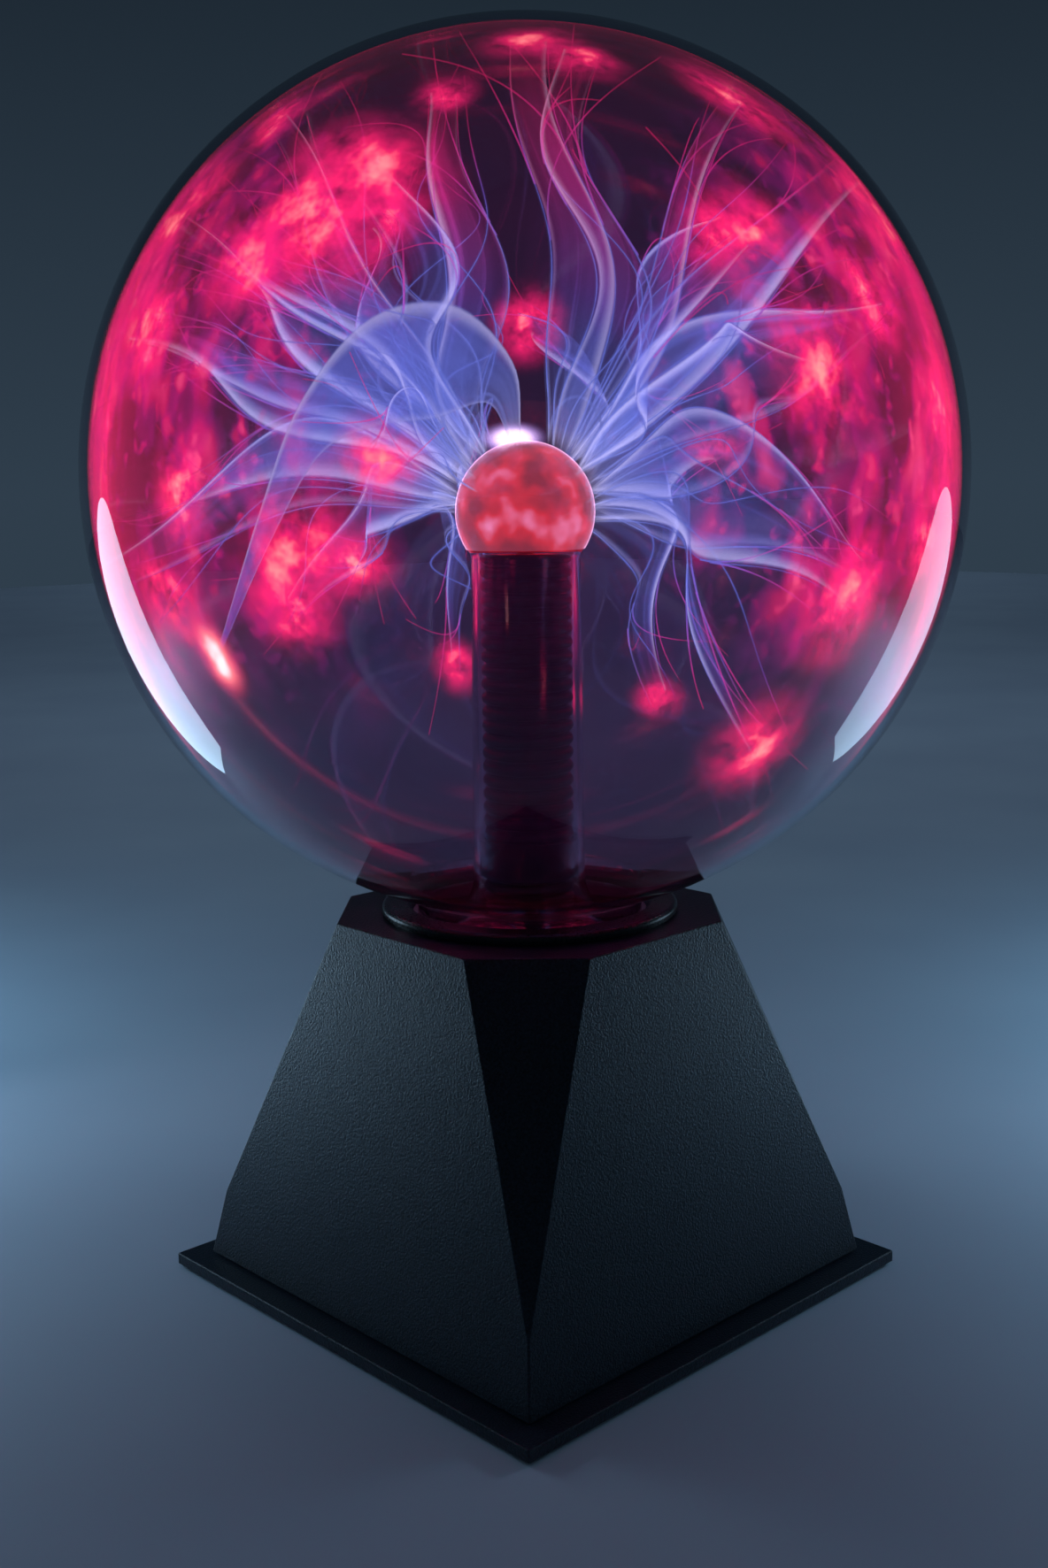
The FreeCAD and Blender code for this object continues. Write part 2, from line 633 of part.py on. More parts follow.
def make_hv_lead():
    """Thick lead from the high-voltage coil's post, up through the sleeve to the pin."""
    pin_seat = CORE_FOOT - PIN_LENGTH / 4
    post_z = WINDOW_TOP + 2 * FLANGE_THIN
    post_x, post_y = hv_post_place()
    bow = SLEEVE_FOOT - 6
    return cable(
        [
            (post_x, post_y, post_z),
            (post_x, post_y, post_z + 7),
            (post_x + 3, post_y - 5, bow - 5),
            (-3, -1, bow),
            (0, 0, SLEEVE_FOOT + 6),
            (0, 0, pin_seat),
        ],
        HV_LEAD_R,
    )


# ---- Board ----
def board_corners(shape):
    """Copies of a shape at the board's four screw holes."""
    reach_x = BOARD_X / 2 - BOARD_HOLE_INSET
    reach_y = (BOARD_REAR - BOARD_FRONT) / 2 - BOARD_HOLE_INSET
    return at_corners(shape, reach_x, reach_y, (BOARD_FRONT + BOARD_REAR) / 2)


def on_board(x, y):
    """Point on the board's top: x from its middle, y from its rear edge."""
    return x, BOARD_REAR - y


def make_circuit_board():
    """Board on the cover's standoffs."""
    board = box((-BOARD_X / 2, BOARD_FRONT, BOARD_Z), (BOARD_X / 2, BOARD_REAR, BOARD_TOP))
    holes = board_corners(cylinder(BOARD_SCREW_R + SCREW_GAP, BOARD_Z - 1, BOARD_TOP + 1))
    return board.cut(Part.makeCompound(holes))


def pan_screw(radius, head_r, length, seat_z):
    """Round-headed cross screw pointing down from seat_z."""
    head = 0.65 * head_r
    blank = turned(
        [
            (0, seat_z - length),
            (radius * 0.6, seat_z - length),
            (radius, seat_z - length + 0.8),
            (radius, seat_z),
            (head_r, seat_z),
            (head_r, seat_z + 0.5 * head),
            (head_r * 0.7, seat_z + head),
            (0, seat_z + head),
        ]
    )
    recess = cross_slot(0.5 * head, 0.3 * head_r, 0.6 * head_r)
    recess.rotate(Vector(0, 0, 0), Vector(1, 0, 0), 180)
    recess.translate(Vector(0, 0, seat_z + head))
    return blank.cut(recess)


def make_board_screws():
    """Four screws that hold the board to the standoffs."""
    return board_corners(pan_screw(BOARD_SCREW_R, BOARD_SCREW_HEAD_R, BOARD_SCREW_LENGTH, BOARD_TOP))


def make_transformer_carrier():
    """Plastic seat between the board and the lower ferrite."""
    half_x = LEG_SPACING / 2 + LEG / 2 + 1
    half_y = LEG / 2 + 3
    seat = box(
        (TRANSFORMER_X - half_x, TRANSFORMER_Y - half_y, BOARD_TOP),
        (TRANSFORMER_X + half_x, TRANSFORMER_Y + half_y, FERRITE_FOOT),
    )
    groove_half = STRAP_WIDTH / 2 + STRAP_GAP
    groove_foot = FERRITE_FOOT - STRAP_T - 2 * STRAP_GAP
    return seat.cut(
        box(
            (strap_x() - groove_half, TRANSFORMER_Y - half_y - 1, groove_foot),
            (strap_x() + groove_half, TRANSFORMER_Y + half_y + 1, FERRITE_FOOT + 1),
        )
    )


def make_ferrite(yoke_low, yoke_high, leg_low, leg_high):
    """U-shaped ferrite half: a yoke and two square legs."""
    half_x = (LEG_SPACING + LEG) / 2
    low_y, high_y = TRANSFORMER_Y - LEG / 2, TRANSFORMER_Y + LEG / 2
    yoke = box((TRANSFORMER_X - half_x, low_y, yoke_low), (TRANSFORMER_X + half_x, high_y, yoke_high))
    legs = [
        box((x - LEG / 2, low_y, leg_low), (x + LEG / 2, high_y, leg_high))
        for x in (HV_LEG_X, PRIMARY_LEG_X)
    ]
    return fused(yoke, *legs)


def make_former(x, coil_r, sections):
    """Coil former with a square bore, a round tube and a flange at each end and between sections."""
    low, high = WINDOW_FOOT + FORMER_GAP, WINDOW_TOP - FORMER_GAP
    tube = cylinder(FORMER_R, low, high, x, TRANSFORMER_Y)
    rise = (high - low - FLANGE_THIN) / sections
    flanges = [
        cylinder(
            coil_r + FLANGE_REACH, low + number * rise, low + number * rise + FLANGE_THIN, x, TRANSFORMER_Y
        )
        for number in range(sections + 1)
    ]
    half = LEG / 2 + FORMER_GAP
    bore = box((x - half, TRANSFORMER_Y - half, low - 1), (x + half, TRANSFORMER_Y + half, high + 1))
    return fused(tube, *flanges).cut(bore)


def hv_post_place():
    """Where the high-voltage lead leaves the coil."""
    return HV_LEG_X, TRANSFORMER_Y + LEG / 2 + 4.5


def make_hv_former():
    """Sectioned former of the high-voltage coil, with the post for the lead."""
    post_x, post_y = hv_post_place()
    top = WINDOW_TOP - FORMER_GAP
    post = cylinder(HV_LEAD_R + 1, top - FLANGE_THIN, WINDOW_TOP + 2 * FLANGE_THIN, post_x, post_y)
    return fused(make_former(HV_LEG_X, HV_COIL_R, HV_SECTIONS), post)


def make_hv_winding():
    """The fine wire of the high-voltage coil, one ring in each section of its former."""
    low, high = WINDOW_FOOT + FORMER_GAP, WINDOW_TOP - FORMER_GAP
    rise = (high - low - FLANGE_THIN) / HV_SECTIONS
    rings = []
    for number in range(HV_SECTIONS):
        foot = low + number * rise + FLANGE_THIN + FIT_GAP
        top = low + (number + 1) * rise - FIT_GAP
        shoulder = HV_COIL_R - HV_BULGE * (top - foot)
        rings.append(
            turned(
                [
                    (FORMER_R + FIT_GAP, foot),
                    (shoulder, foot),
                    ("arc", (HV_COIL_R, (foot + top) / 2), (shoulder, top)),
                    (FORMER_R + FIT_GAP, top),
                ],
                HV_LEG_X,
                TRANSFORMER_Y,
            )
        )
    return rings


def make_primary_winding():
    """Turns of thick wire side by side on the primary former."""
    inside = FORMER_R + FIT_GAP
    middle = (WINDOW_FOOT + WINDOW_TOP) / 2
    start = middle - PRIMARY_TURNS * PRIMARY_WIRE_R
    outline = [(inside, start), (inside + PRIMARY_WIRE_R, start)]
    for number in range(PRIMARY_TURNS):
        centre = (inside + PRIMARY_WIRE_R, start + (2 * number + 1) * PRIMARY_WIRE_R)
        outline.append(arc(centre, PRIMARY_WIRE_R, -90, 90))
    outline.append((inside, start + 2 * PRIMARY_TURNS * PRIMARY_WIRE_R))
    return turned(outline, PRIMARY_LEG_X, TRANSFORMER_Y)


def strap_x():
    """Middle of the free space between the two formers, along the yokes' outer faces."""
    reach = LEG / 2
    hv_edge = HV_LEG_X + math.sqrt((HV_COIL_R + FLANGE_REACH) ** 2 - reach**2)
    primary_edge = PRIMARY_LEG_X - math.sqrt((PRIMARY_R + FLANGE_REACH) ** 2 - reach**2)
    return (hv_edge + primary_edge) / 2


def make_core_strap():
    """Steel strap round both ferrite yokes, between the coils."""
    half_x, half_y = STRAP_WIDTH / 2, LEG / 2 + STRAP_GAP
    low, high = FERRITE_FOOT - STRAP_GAP, CORE_TOP + STRAP_GAP
    outer = box(
        (strap_x() - half_x, TRANSFORMER_Y - half_y - STRAP_T, low - STRAP_T),
        (strap_x() + half_x, TRANSFORMER_Y + half_y + STRAP_T, high + STRAP_T),
    )
    inner = box(
        (strap_x() - half_x - 1, TRANSFORMER_Y - half_y, low),
        (strap_x() + half_x + 1, TRANSFORMER_Y + half_y, high),
    )
    return outer.cut(inner)


def make_heat_sink():
    """Finned aluminium plate for the transistor."""
    low_y = TRANSFORMER_Y - SINK_Y / 2
    top = BOARD_TOP + SINK_HEIGHT
    plate = box((SINK_X, low_y, BOARD_TOP), (SINK_X + SINK_T, low_y + SINK_Y, top))
    fins = []
    for number in range(SINK_FINS):
        y = low_y + number * (SINK_Y - SINK_T) / (SINK_FINS - 1)
        fins.append(box((SINK_X, y, BOARD_TOP), (SINK_X + SINK_T + SINK_FIN, y + SINK_T, top)))
    hole = Part.makeCylinder(
        BOARD_SCREW_R + FIT_GAP, SINK_T + 2, Vector(SINK_X - 1, *transistor_hole()), Vector(1, 0, 0)
    )
    return fused(plate, *fins).cut(hole)


def transistor_hole():
    """Middle (y, z) of the transistor's screw hole, between two fins."""
    fin_pitch = (SINK_Y - SINK_T) / (SINK_FINS - 1)
    return TRANSFORMER_Y + fin_pitch / 2, BOARD_TOP + 0.7 * SINK_HEIGHT


def make_power_transistor():
    """Transistor with a moulded body, a metal tab and three legs down to the board."""
    y, z = transistor_hole()
    tab = box((SINK_X - 1.3, y - 5, z - 12.5), (SINK_X, y + 5, z + 3))
    tab = tab.cut(Part.makeCylinder(BOARD_SCREW_R + FIT_GAP, 4, Vector(SINK_X - 2, y, z), Vector(1, 0, 0)))
    case = box((SINK_X - 4.5, y - 5, z - 12.5), (SINK_X - 1.3, y + 5, z - 3.5))
    legs = [
        box((SINK_X - 2.6, y + step - 0.4, BOARD_TOP), (SINK_X - 2.1, y + step + 0.4, z - 12.5))
        for step in (-2.54, 0, 2.54)
    ]
    return fused(tab, case, *legs)


def make_transistor_screw():
    """Screw that pulls the transistor's tab against the heat sink."""
    screw = pan_screw(BOARD_SCREW_R, BOARD_SCREW_HEAD_R, 5, 0)
    screw.rotate(Vector(0, 0, 0), Vector(0, 1, 0), -90)
    screw.translate(Vector(SINK_X - 1.3, *transistor_hole()))
    return screw


def make_filter_capacitor():
    """Round can capacitor with a rolled edge and a scored top."""
    radius, height = 5.0, 17.0
    x, y = on_board(-26, 9)
    top = BOARD_TOP + height
    can = turned(
        [
            (0, BOARD_TOP),
            (radius, BOARD_TOP),
            (radius, BOARD_TOP + 1.4),
            (radius - 0.5, BOARD_TOP + 1.9),
            (radius, BOARD_TOP + 2.4),
            (radius, top - 0.6),
            (radius - 0.6, top),
            (0, top),
        ],
        x,
        y,
    )
    score = cross_slot(0.4, 0.5, radius - 1.2)
    score.rotate(Vector(0, 0, 0), Vector(1, 0, 0), 180)
    score.translate(Vector(x, y, top))
    return can.cut(score)


def make_film_capacitors():
    """Two box capacitors."""
    blocks = []
    for x in (-14, -4):
        middle_x, middle_y = on_board(x, 7)
        block = box((middle_x - 4, middle_y - 3, BOARD_TOP), (middle_x + 4, middle_y + 3, BOARD_TOP + 9))
        blocks.append(block.makeFillet(0.5, [e for e in block.Edges if e.BoundBox.ZMax > BOARD_TOP + 1]))
    return blocks


def make_resistors():
    """Four resistors, each a body on a bent wire."""
    found = []
    for number in range(4):
        x, y = on_board(17 + 3.6 * number, 8)
        body_z = BOARD_TOP + 2.4
        body = Part.makeCylinder(1.2, 6.4, Vector(x, y - 3.2, body_z), Vector(0, 1, 0))
        wire = cable(
            [(x, y - 5, BOARD_TOP), (x, y - 5, body_z), (x, y + 5, body_z), (x, y + 5, BOARD_TOP)], 0.3
        )
        found.append(fused(wire, body))
    return found


def make_driver_chip():
    """Eight-legged chip that drives the transistor."""
    x, y = on_board(8, 8)
    body = box((x - 4.7, y - 3.2, BOARD_TOP + 0.8), (x + 4.7, y + 3.2, BOARD_TOP + 4.2))
    legs = []
    for number in range(4):
        leg_x = x + (number - 1.5) * 2.54
        for side in (-1, 1):
            low_y, high_y = sorted((y + side * 3.2, y + side * 4.0))
            legs.append(box((leg_x - 0.3, low_y, BOARD_TOP), (leg_x + 0.3, high_y, BOARD_TOP + 2.4)))
    mark = cylinder(0.8, BOARD_TOP + 3.8, BOARD_TOP + 5, x - 4.7, y)
    return fused(body, *legs).cut(mark)


# ---- Rear panel ----
def ear_x():
    """How far each screw of the switch frame is from the knob's middle."""
    return switch_body_x() / 2 + FRAME_EAR / 2


def switch_body_x():
    """Length of the switch body: the slider, its travel and the walls."""
    return SLIDER_X + 2 * SWITCH_STEP + 2 * KNOB_GAP + 2 * SWITCH_BODY_WALL


def make_dc_jack():
    """Panel inlet: flange outside, barrel through the wall, round socket, and two tags inside."""
    foot = -JACK_LENGTH
    barrel = turned(
        [
            (0, foot),
            (JACK_R, foot),
            (JACK_R, 0),
            (JACK_FLANGE_R, 0),
            (JACK_FLANGE_R, JACK_FLANGE_T - 0.5),
            (JACK_FLANGE_R - 0.5, JACK_FLANGE_T),
            (JACK_BORE_R + 0.5, JACK_FLANGE_T),
            (JACK_BORE_R, JACK_FLANGE_T - 0.5),
            (JACK_BORE_R, jack_floor()),
            (0, jack_floor()),
        ]
    )
    pin_hole = cylinder(JACK_ROOT_R + FIT_GAP, jack_floor() - JACK_ROOT_LENGTH, 0)
    tags = [box((x - 1, -0.3, foot - 5), (x + 1, 0.3, foot)) for x in (-2.5, 2.5)]
    return on_panel(fused(barrel.cut(pin_hole), *tags), JACK_X)


def jack_floor():
    """Depth of the socket's floor."""
    return JACK_FLANGE_T - JACK_BORE_DEPTH


def jack_pin_top():
    """Depth of the contact pin's tip."""
    return JACK_FLANGE_T - JACK_PIN_SHORT


def make_jack_pin():
    """Contact pin in the middle of the socket, on a thicker root in its floor."""
    root_foot = jack_floor() - JACK_ROOT_LENGTH
    pin = turned(
        [
            (0, root_foot),
            (JACK_ROOT_R, root_foot),
            (JACK_ROOT_R, jack_floor()),
            (JACK_PIN_R, jack_floor()),
            (JACK_PIN_R, jack_pin_top() - JACK_PIN_EDGE),
            (JACK_PIN_R - JACK_PIN_EDGE, jack_pin_top()),
            (0, jack_pin_top()),
        ]
    )
    return on_panel(pin, JACK_X)


def make_jack_nut():
    """Hexagonal nut that holds the inlet from inside."""
    foot = -WALL - JACK_NUT_T
    across = JACK_NUT_FLATS / math.cos(math.radians(30)) / 2
    corners = [Vector(*on_circle((0, 0), across, 60 * k), foot) for k in range(7)]
    nut = Part.Face(Part.makePolygon(corners)).extrude(Vector(0, 0, JACK_NUT_T))
    return on_panel(nut.cut(cylinder(JACK_R + FIT_GAP, foot - 1, 0)), JACK_X)


def make_switch_frame():
    """Steel frame behind the wall, with a slot for the knob and an ear for each screw."""
    half_x = ear_x() + FRAME_EAR / 2
    half_y = SWITCH_BODY_Y / 2
    slot_x = KNOB_X / 2 + SWITCH_STEP + KNOB_GAP
    slot_y = KNOB_Y / 2 + KNOB_GAP
    top, foot = -WALL, -WALL - FRAME_T
    frame = box((-half_x, -half_y, foot), (half_x, half_y, top))
    frame = frame.makeFillet(1.5, [e for e in frame.Edges if e.BoundBox.ZLength > FRAME_T / 2])
    frame = frame.cut(box((-slot_x, -slot_y, foot - 1), (slot_x, slot_y, top + 1)))
    for side in (-1, 1):
        frame = frame.cut(cylinder(SWITCH_SCREW_R + FIT_GAP, foot - 1, top + 1, side * ear_x()))
    return on_panel(frame, SWITCH_X)


def make_switch_body():
    """Moulded box under the frame that the slider runs in."""
    top = -WALL - FRAME_T
    half_x, half_y = switch_body_x() / 2, SWITCH_BODY_Y / 2
    body = box((-half_x, -half_y, top - SWITCH_BODY_DEPTH), (half_x, half_y, top))
    room_x = SLIDER_X / 2 + SWITCH_STEP + KNOB_GAP
    room_y = SLIDER_Y / 2 + KNOB_GAP
    room_foot = top - SLIDER_T - 2 * KNOB_GAP
    return on_panel(body.cut(box((-room_x, -room_y, room_foot), (room_x, room_y, top + 1))), SWITCH_X)


def make_switch_knob():
    """Knob with finger ridges on a flat slider. It moves sideways between off, on and sound."""
    slider_top = -WALL - FRAME_T - KNOB_GAP
    slider_x, slider_y = SLIDER_X / 2, SLIDER_Y / 2
    slider = box((-slider_x, -slider_y, slider_top - SLIDER_T), (slider_x, slider_y, slider_top))
    knob = box((-KNOB_X / 2, -KNOB_Y / 2, slider_top), (KNOB_X / 2, KNOB_Y / 2, KNOB_OUT))
    rim = [e for e in knob.Edges if e.BoundBox.ZMin > KNOB_OUT - 1e-6]
    knob = knob.makeFillet(0.4, rim)
    for x in (-1.1, 0, 1.1):
        knob = knob.cut(box((x - 0.25, -KNOB_Y, KNOB_OUT - 0.5), (x + 0.25, KNOB_Y, KNOB_OUT + 1)))
    return on_panel(fused(slider, knob), SWITCH_X)


def make_switch_screws():
    """Two small screws through the wall into the switch frame."""
    screw = pan_screw(SWITCH_SCREW_R, SWITCH_SCREW_HEAD_R, SWITCH_SCREW_LENGTH, 0)
    found = []
    for side in (-1, 1):
        copy = screw.copy()
        copy.translate(Vector(side * ear_x(), 0, 0))
        found.append(on_panel(copy, SWITCH_X))
    return found


def make_switch_tags():
    """Four solder tags at the back of the switch."""
    back = -WALL - FRAME_T - SWITCH_BODY_DEPTH
    tags = [box((x - 0.8, -0.25, back - TAG_LENGTH), (x + 0.8, 0.25, back)) for x in switch_tag_places()]
    return [on_panel(tag, SWITCH_X) for tag in tags]


def switch_tag_places():
    """Places of the switch's solder tags along it."""
    return [(number - 1.5) * switch_body_x() / 4.5 for number in range(4)]


def make_microphone():
    """Capsule that hears music in the sound setting, seated in the shell's ring."""
    top = -WALL - KNOB_GAP
    foot = top - MIC_DEPTH
    return on_panel(
        turned([(0, foot), (MIC_R, foot), (MIC_R, top - 0.4), (MIC_R - 0.4, top), (0, top)]), 0
    )


def make_power_wires():
    """Two insulated wires from the inlet's tags to the board."""
    wires = []
    tag_depth = -JACK_LENGTH - 5
    for side in (-1, 1):
        x = JACK_X - side * 2.5
        start = panel_point(x, 0, tag_depth)
        after = panel_point(x, 0, tag_depth - 4)
        pad_x, pad_y = x + side * 0.6, BOARD_REAR - PAD_INSET
        over = (start[2] + BOARD_TOP) / 2
        wires.append(cable([start, after, (pad_x, pad_y, over), (pad_x, pad_y, BOARD_TOP)], 0.8))
    return wires


def make_switch_wires():
    """Three insulated wires from the switch's tags to the board."""
    wires = []
    tag_depth = -WALL - FRAME_T - SWITCH_BODY_DEPTH - TAG_LENGTH
    for tag in switch_tag_places()[:3]:
        x = SWITCH_X - tag
        start = panel_point(x, 0, tag_depth)
        after = panel_point(x, 0, tag_depth - 8)
        pad_x, pad_y = x - 1.2, BOARD_REAR - PAD_INSET
        wires.append(cable([start, after, (pad_x, pad_y, BOARD_TOP + 6), (pad_x, pad_y, BOARD_TOP)], 0.7))
    return wires


def save(name, made):
    """Writes one node, a solid or a group of solids, as parts/NAME.step."""
    shape = Part.makeCompound(made) if isinstance(made, list) else made
    if not shape.isValid() or not shape.Solids or min(s.Volume for s in shape.Solids) <= 0:
        raise ValueError(f"{name} isn't a sound solid")
    shape.exportStep(f"parts/{name}.step")
    print(f"{name}: {len(shape.Solids)} solid(s), {shape.Volume:.1f} mm3")


def main():
    os.makedirs("parts", exist_ok=True)
    stem = make_stem_glass()
    save("globe_glass", make_globe_glass())
    save("stem_glass", stem)
    save("exhaust_tip", make_exhaust_tip(stem))
    save("electrode_core", make_electrode_core())
    save("electrode_pin", make_electrode_pin())
    save("ribbed_sleeve", make_ribbed_sleeve())
    save("sleeve_bush", make_sleeve_bush())
    save("hv_lead", make_hv_lead())
    save("collar_ring", make_collar_ring())
    save("neck_gasket", make_neck_gasket())
    save("neck_sealant", make_neck_sealant())
    save("collar_nut", make_collar_nut())
    save("base_shell", make_base_shell())
    save("bottom_cover", make_bottom_cover())
    save("cover_screws", make_cover_screws())
    save("rubber_feet", make_rubber_feet())
    save("circuit_board", make_circuit_board())
    save("board_screws", make_board_screws())
    save("transformer_carrier", make_transformer_carrier())
    save("ferrite_lower", make_ferrite(FERRITE_FOOT, WINDOW_FOOT, FERRITE_FOOT, FERRITE_MIDDLE))
    save("ferrite_upper", make_ferrite(WINDOW_TOP, CORE_TOP, FERRITE_MIDDLE, CORE_TOP))
    save("hv_former", make_hv_former())
    save("hv_winding", make_hv_winding())
    save("primary_former", make_former(PRIMARY_LEG_X, PRIMARY_R, 1))
    save("primary_winding", make_primary_winding())
    save("core_strap", make_core_strap())
    save("heat_sink", make_heat_sink())
    save("power_transistor", make_power_transistor())
    save("transistor_screw", make_transistor_screw())
    save("filter_capacitor", make_filter_capacitor())
    save("film_capacitors", make_film_capacitors())
    save("resistors", make_resistors())
    save("driver_chip", make_driver_chip())
    save("microphone", make_microphone())
    save("dc_jack", make_dc_jack())
    save("jack_pin", make_jack_pin())
    save("jack_nut", make_jack_nut())
    save("switch_frame", make_switch_frame())
    save("switch_body", make_switch_body())
    save("switch_knob", make_switch_knob())
    save("switch_screws", make_switch_screws())
    save("switch_tags", make_switch_tags())
    save("power_wires", make_power_wires())
    save("switch_wires", make_switch_wires())
    pin_wall_top = jack_pin_top() - JACK_PIN_EDGE
    print("inlet pin's length:", pin_wall_top - jack_floor())
    print("inlet pin's middle:", panel_point(JACK_X, 0, (pin_wall_top + jack_floor()) / 2))
    print("rear face's outward direction:", (0, math.cos(SIDE_LEAN), math.sin(SIDE_LEAN)))


main()
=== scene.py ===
# %% [markdown]
# # A plasma ball
# The frame comes first. The toy's solid parts are already made to size, and this lesson adds what a gas lamp
# needs on top of them: glass, glowing gas, and a finish for every part. Loading them once, at the start,
# gives every later step the same millimetre-true places to measure from.

# %% Load the frame
import math
import random

import bmesh
import bpy
from mathutils import Matrix, Quaternion, Vector


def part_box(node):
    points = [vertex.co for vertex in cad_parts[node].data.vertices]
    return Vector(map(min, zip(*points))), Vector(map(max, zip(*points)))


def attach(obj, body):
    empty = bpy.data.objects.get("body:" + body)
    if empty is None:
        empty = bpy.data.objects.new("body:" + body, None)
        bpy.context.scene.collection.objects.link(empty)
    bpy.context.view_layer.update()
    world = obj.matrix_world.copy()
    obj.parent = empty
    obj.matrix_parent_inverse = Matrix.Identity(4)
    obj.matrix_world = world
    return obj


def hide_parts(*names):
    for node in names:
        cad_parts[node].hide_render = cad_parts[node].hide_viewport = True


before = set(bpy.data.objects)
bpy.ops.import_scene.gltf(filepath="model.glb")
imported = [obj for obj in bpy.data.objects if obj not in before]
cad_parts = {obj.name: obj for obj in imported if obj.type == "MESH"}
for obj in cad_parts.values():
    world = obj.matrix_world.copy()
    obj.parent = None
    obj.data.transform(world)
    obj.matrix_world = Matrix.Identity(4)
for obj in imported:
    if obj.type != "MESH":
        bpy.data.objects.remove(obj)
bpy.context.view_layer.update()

MM = 0.001
scene = bpy.context.scene
print("parts loaded:", len(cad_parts))

# %% [markdown]
# Everything that glows is placed from three sizes: the globe, the ball electrode and the glass wall round it.
# They are read off the parts' own boxes, so the gas always fills the glass it belongs to.

# %% Measure the glass
UP = Vector((0, 0, 1))
GLASS_WALL = 1.6 * MM
globe_low, globe_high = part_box("globe_glass")
GLOBE_OUTER = (globe_high.x - globe_low.x) / 2
GLOBE_CENTRE = Vector((0, 0, globe_high.z - GLOBE_OUTER))
WALL_R = GLOBE_OUTER - GLASS_WALL

core_low, core_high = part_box("electrode_core")
CORE_R = (core_high.x - core_low.x) / 2
BALL_CENTRE = Vector((0, 0, core_high.z - CORE_R))
BALL_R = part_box("stem_glass")[1].z - BALL_CENTRE.z
print("globe radius %.1f mm, electrode glass radius %.1f mm" % (GLOBE_OUTER / MM, BALL_R / MM))

# %% [markdown]
# The camera stands a little above the base's top and looks slightly down on one corner, which shows two sides
# of the base and the whole globe. A 39 mm lens from 40 cm away gives the strong perspective that makes
# the globe loom over its base. The small roll is a hand-held camera's. The numbers are the rounded result
# of a separate fit of the view.

# %% Place the camera
CAMERA_DISTANCE = 399.1 * MM
CAMERA_HEIGHT = 192.25 * MM
CAMERA_STAND = math.radians(-134.02)
CAMERA_HEADING = math.radians(46.13)
CAMERA_TILT = math.radians(9.903)
CAMERA_ROLL = math.radians(0.707)

lens = bpy.data.cameras.new("camera")
lens.lens = 39.0
lens.sensor_width = 36.0
lens.clip_start = 0.01
lens.dof.use_dof = False
camera = bpy.data.objects.new("camera", lens)
scene.collection.objects.link(camera)
scene.camera = camera
camera.location = (
    math.cos(CAMERA_STAND) * CAMERA_DISTANCE,
    math.sin(CAMERA_STAND) * CAMERA_DISTANCE,
    CAMERA_HEIGHT,
)
forward = Vector((
    math.cos(CAMERA_HEADING) * math.cos(CAMERA_TILT),
    math.sin(CAMERA_HEADING) * math.cos(CAMERA_TILT),
    -math.sin(CAMERA_TILT),
))
camera.rotation_mode = "QUATERNION"
camera.rotation_quaternion = forward.to_track_quat("-Z", "Y") @ Quaternion((0, 0, 1), -CAMERA_ROLL)
print("camera at", [round(v, 3) for v in camera.location])

# %% [markdown]
# Glowing gas only shows against something darker than itself, so the room is dim and the pale floor is lit in
# pools. Two low strips stand behind the toy, one each side. They give the globe its two long curved
# reflections, and they rake the grain of the base. The washes light only the floor: one beside each strip,
# one behind, and four far out, so that the floor meets the sky at the same tone. No lamp is seen
# directly or through the glass, because only its light is wanted.

# %% Light the room
def strip_light(name, position, target, width, height, power, colour):
    """A soft oval lamp that faces a target and is never seen directly."""
    lamp = bpy.data.lights.new(name, "AREA")
    lamp.shape = "ELLIPSE"
    lamp.size = width
    lamp.size_y = height
    lamp.energy = power
    lamp.color = colour
    lamp.spread = math.radians(150)
    stand = bpy.data.objects.new(name, lamp)
    scene.collection.objects.link(stand)
    stand.location = position
    stand.rotation_euler = (Vector(target) - Vector(position)).to_track_quat("-Z", "Y").to_euler()
    stand.visible_camera = False
    stand.visible_transmission = False
    return stand


def wash_light(*settings):
    """A lamp that only spreads light: no glossy surface shows its shape."""
    strip_light(*settings).visible_glossy = False


COOL = (0.50, 0.76, 1.0)
STRIP_BACK, STRIP_ASIDE, STRIP_HEIGHT = 0.275, -0.105, 0.088
TARGET = Vector((0, 0, 0.26))
for name, spot, power, wash_spot in (
    ("left", (STRIP_ASIDE, STRIP_BACK, STRIP_HEIGHT), 0.20, (-0.20, 0.36, 0.20)),
    ("right", (STRIP_BACK, STRIP_ASIDE, STRIP_HEIGHT), 0.125, (0.36, -0.20, 0.20)),
):
    strip_light(name + "_strip", spot, TARGET, 0.12, 0.23, power, COOL)
    wash_light(name + "_wash", wash_spot, (*wash_spot[:2], 0), 0.16, 0.16, 0.72, (0.30, 0.68, 1.0))
wash_light("top_soft", (-0.10, 0.05, 0.85), (0, 0, 0.05), 0.6, 0.6, 0.22, (0.60, 0.78, 1.0))
wash_light("back_wash", (0.5, 0.5, 1.1), (1.1, 1.1, 0), 1.2, 1.0, 2.6, (0.45, 0.72, 1.0))
for number, (x, y) in enumerate(((2.4, 2.4), (-2.4, 2.4), (-2.4, -2.4), (2.4, -2.4))):
    wash_light("far_wash_%d" % number, (x, y, 1.5), (x, y, 0), 2.0, 2.0, 5.0, (0.45, 0.72, 1.0))

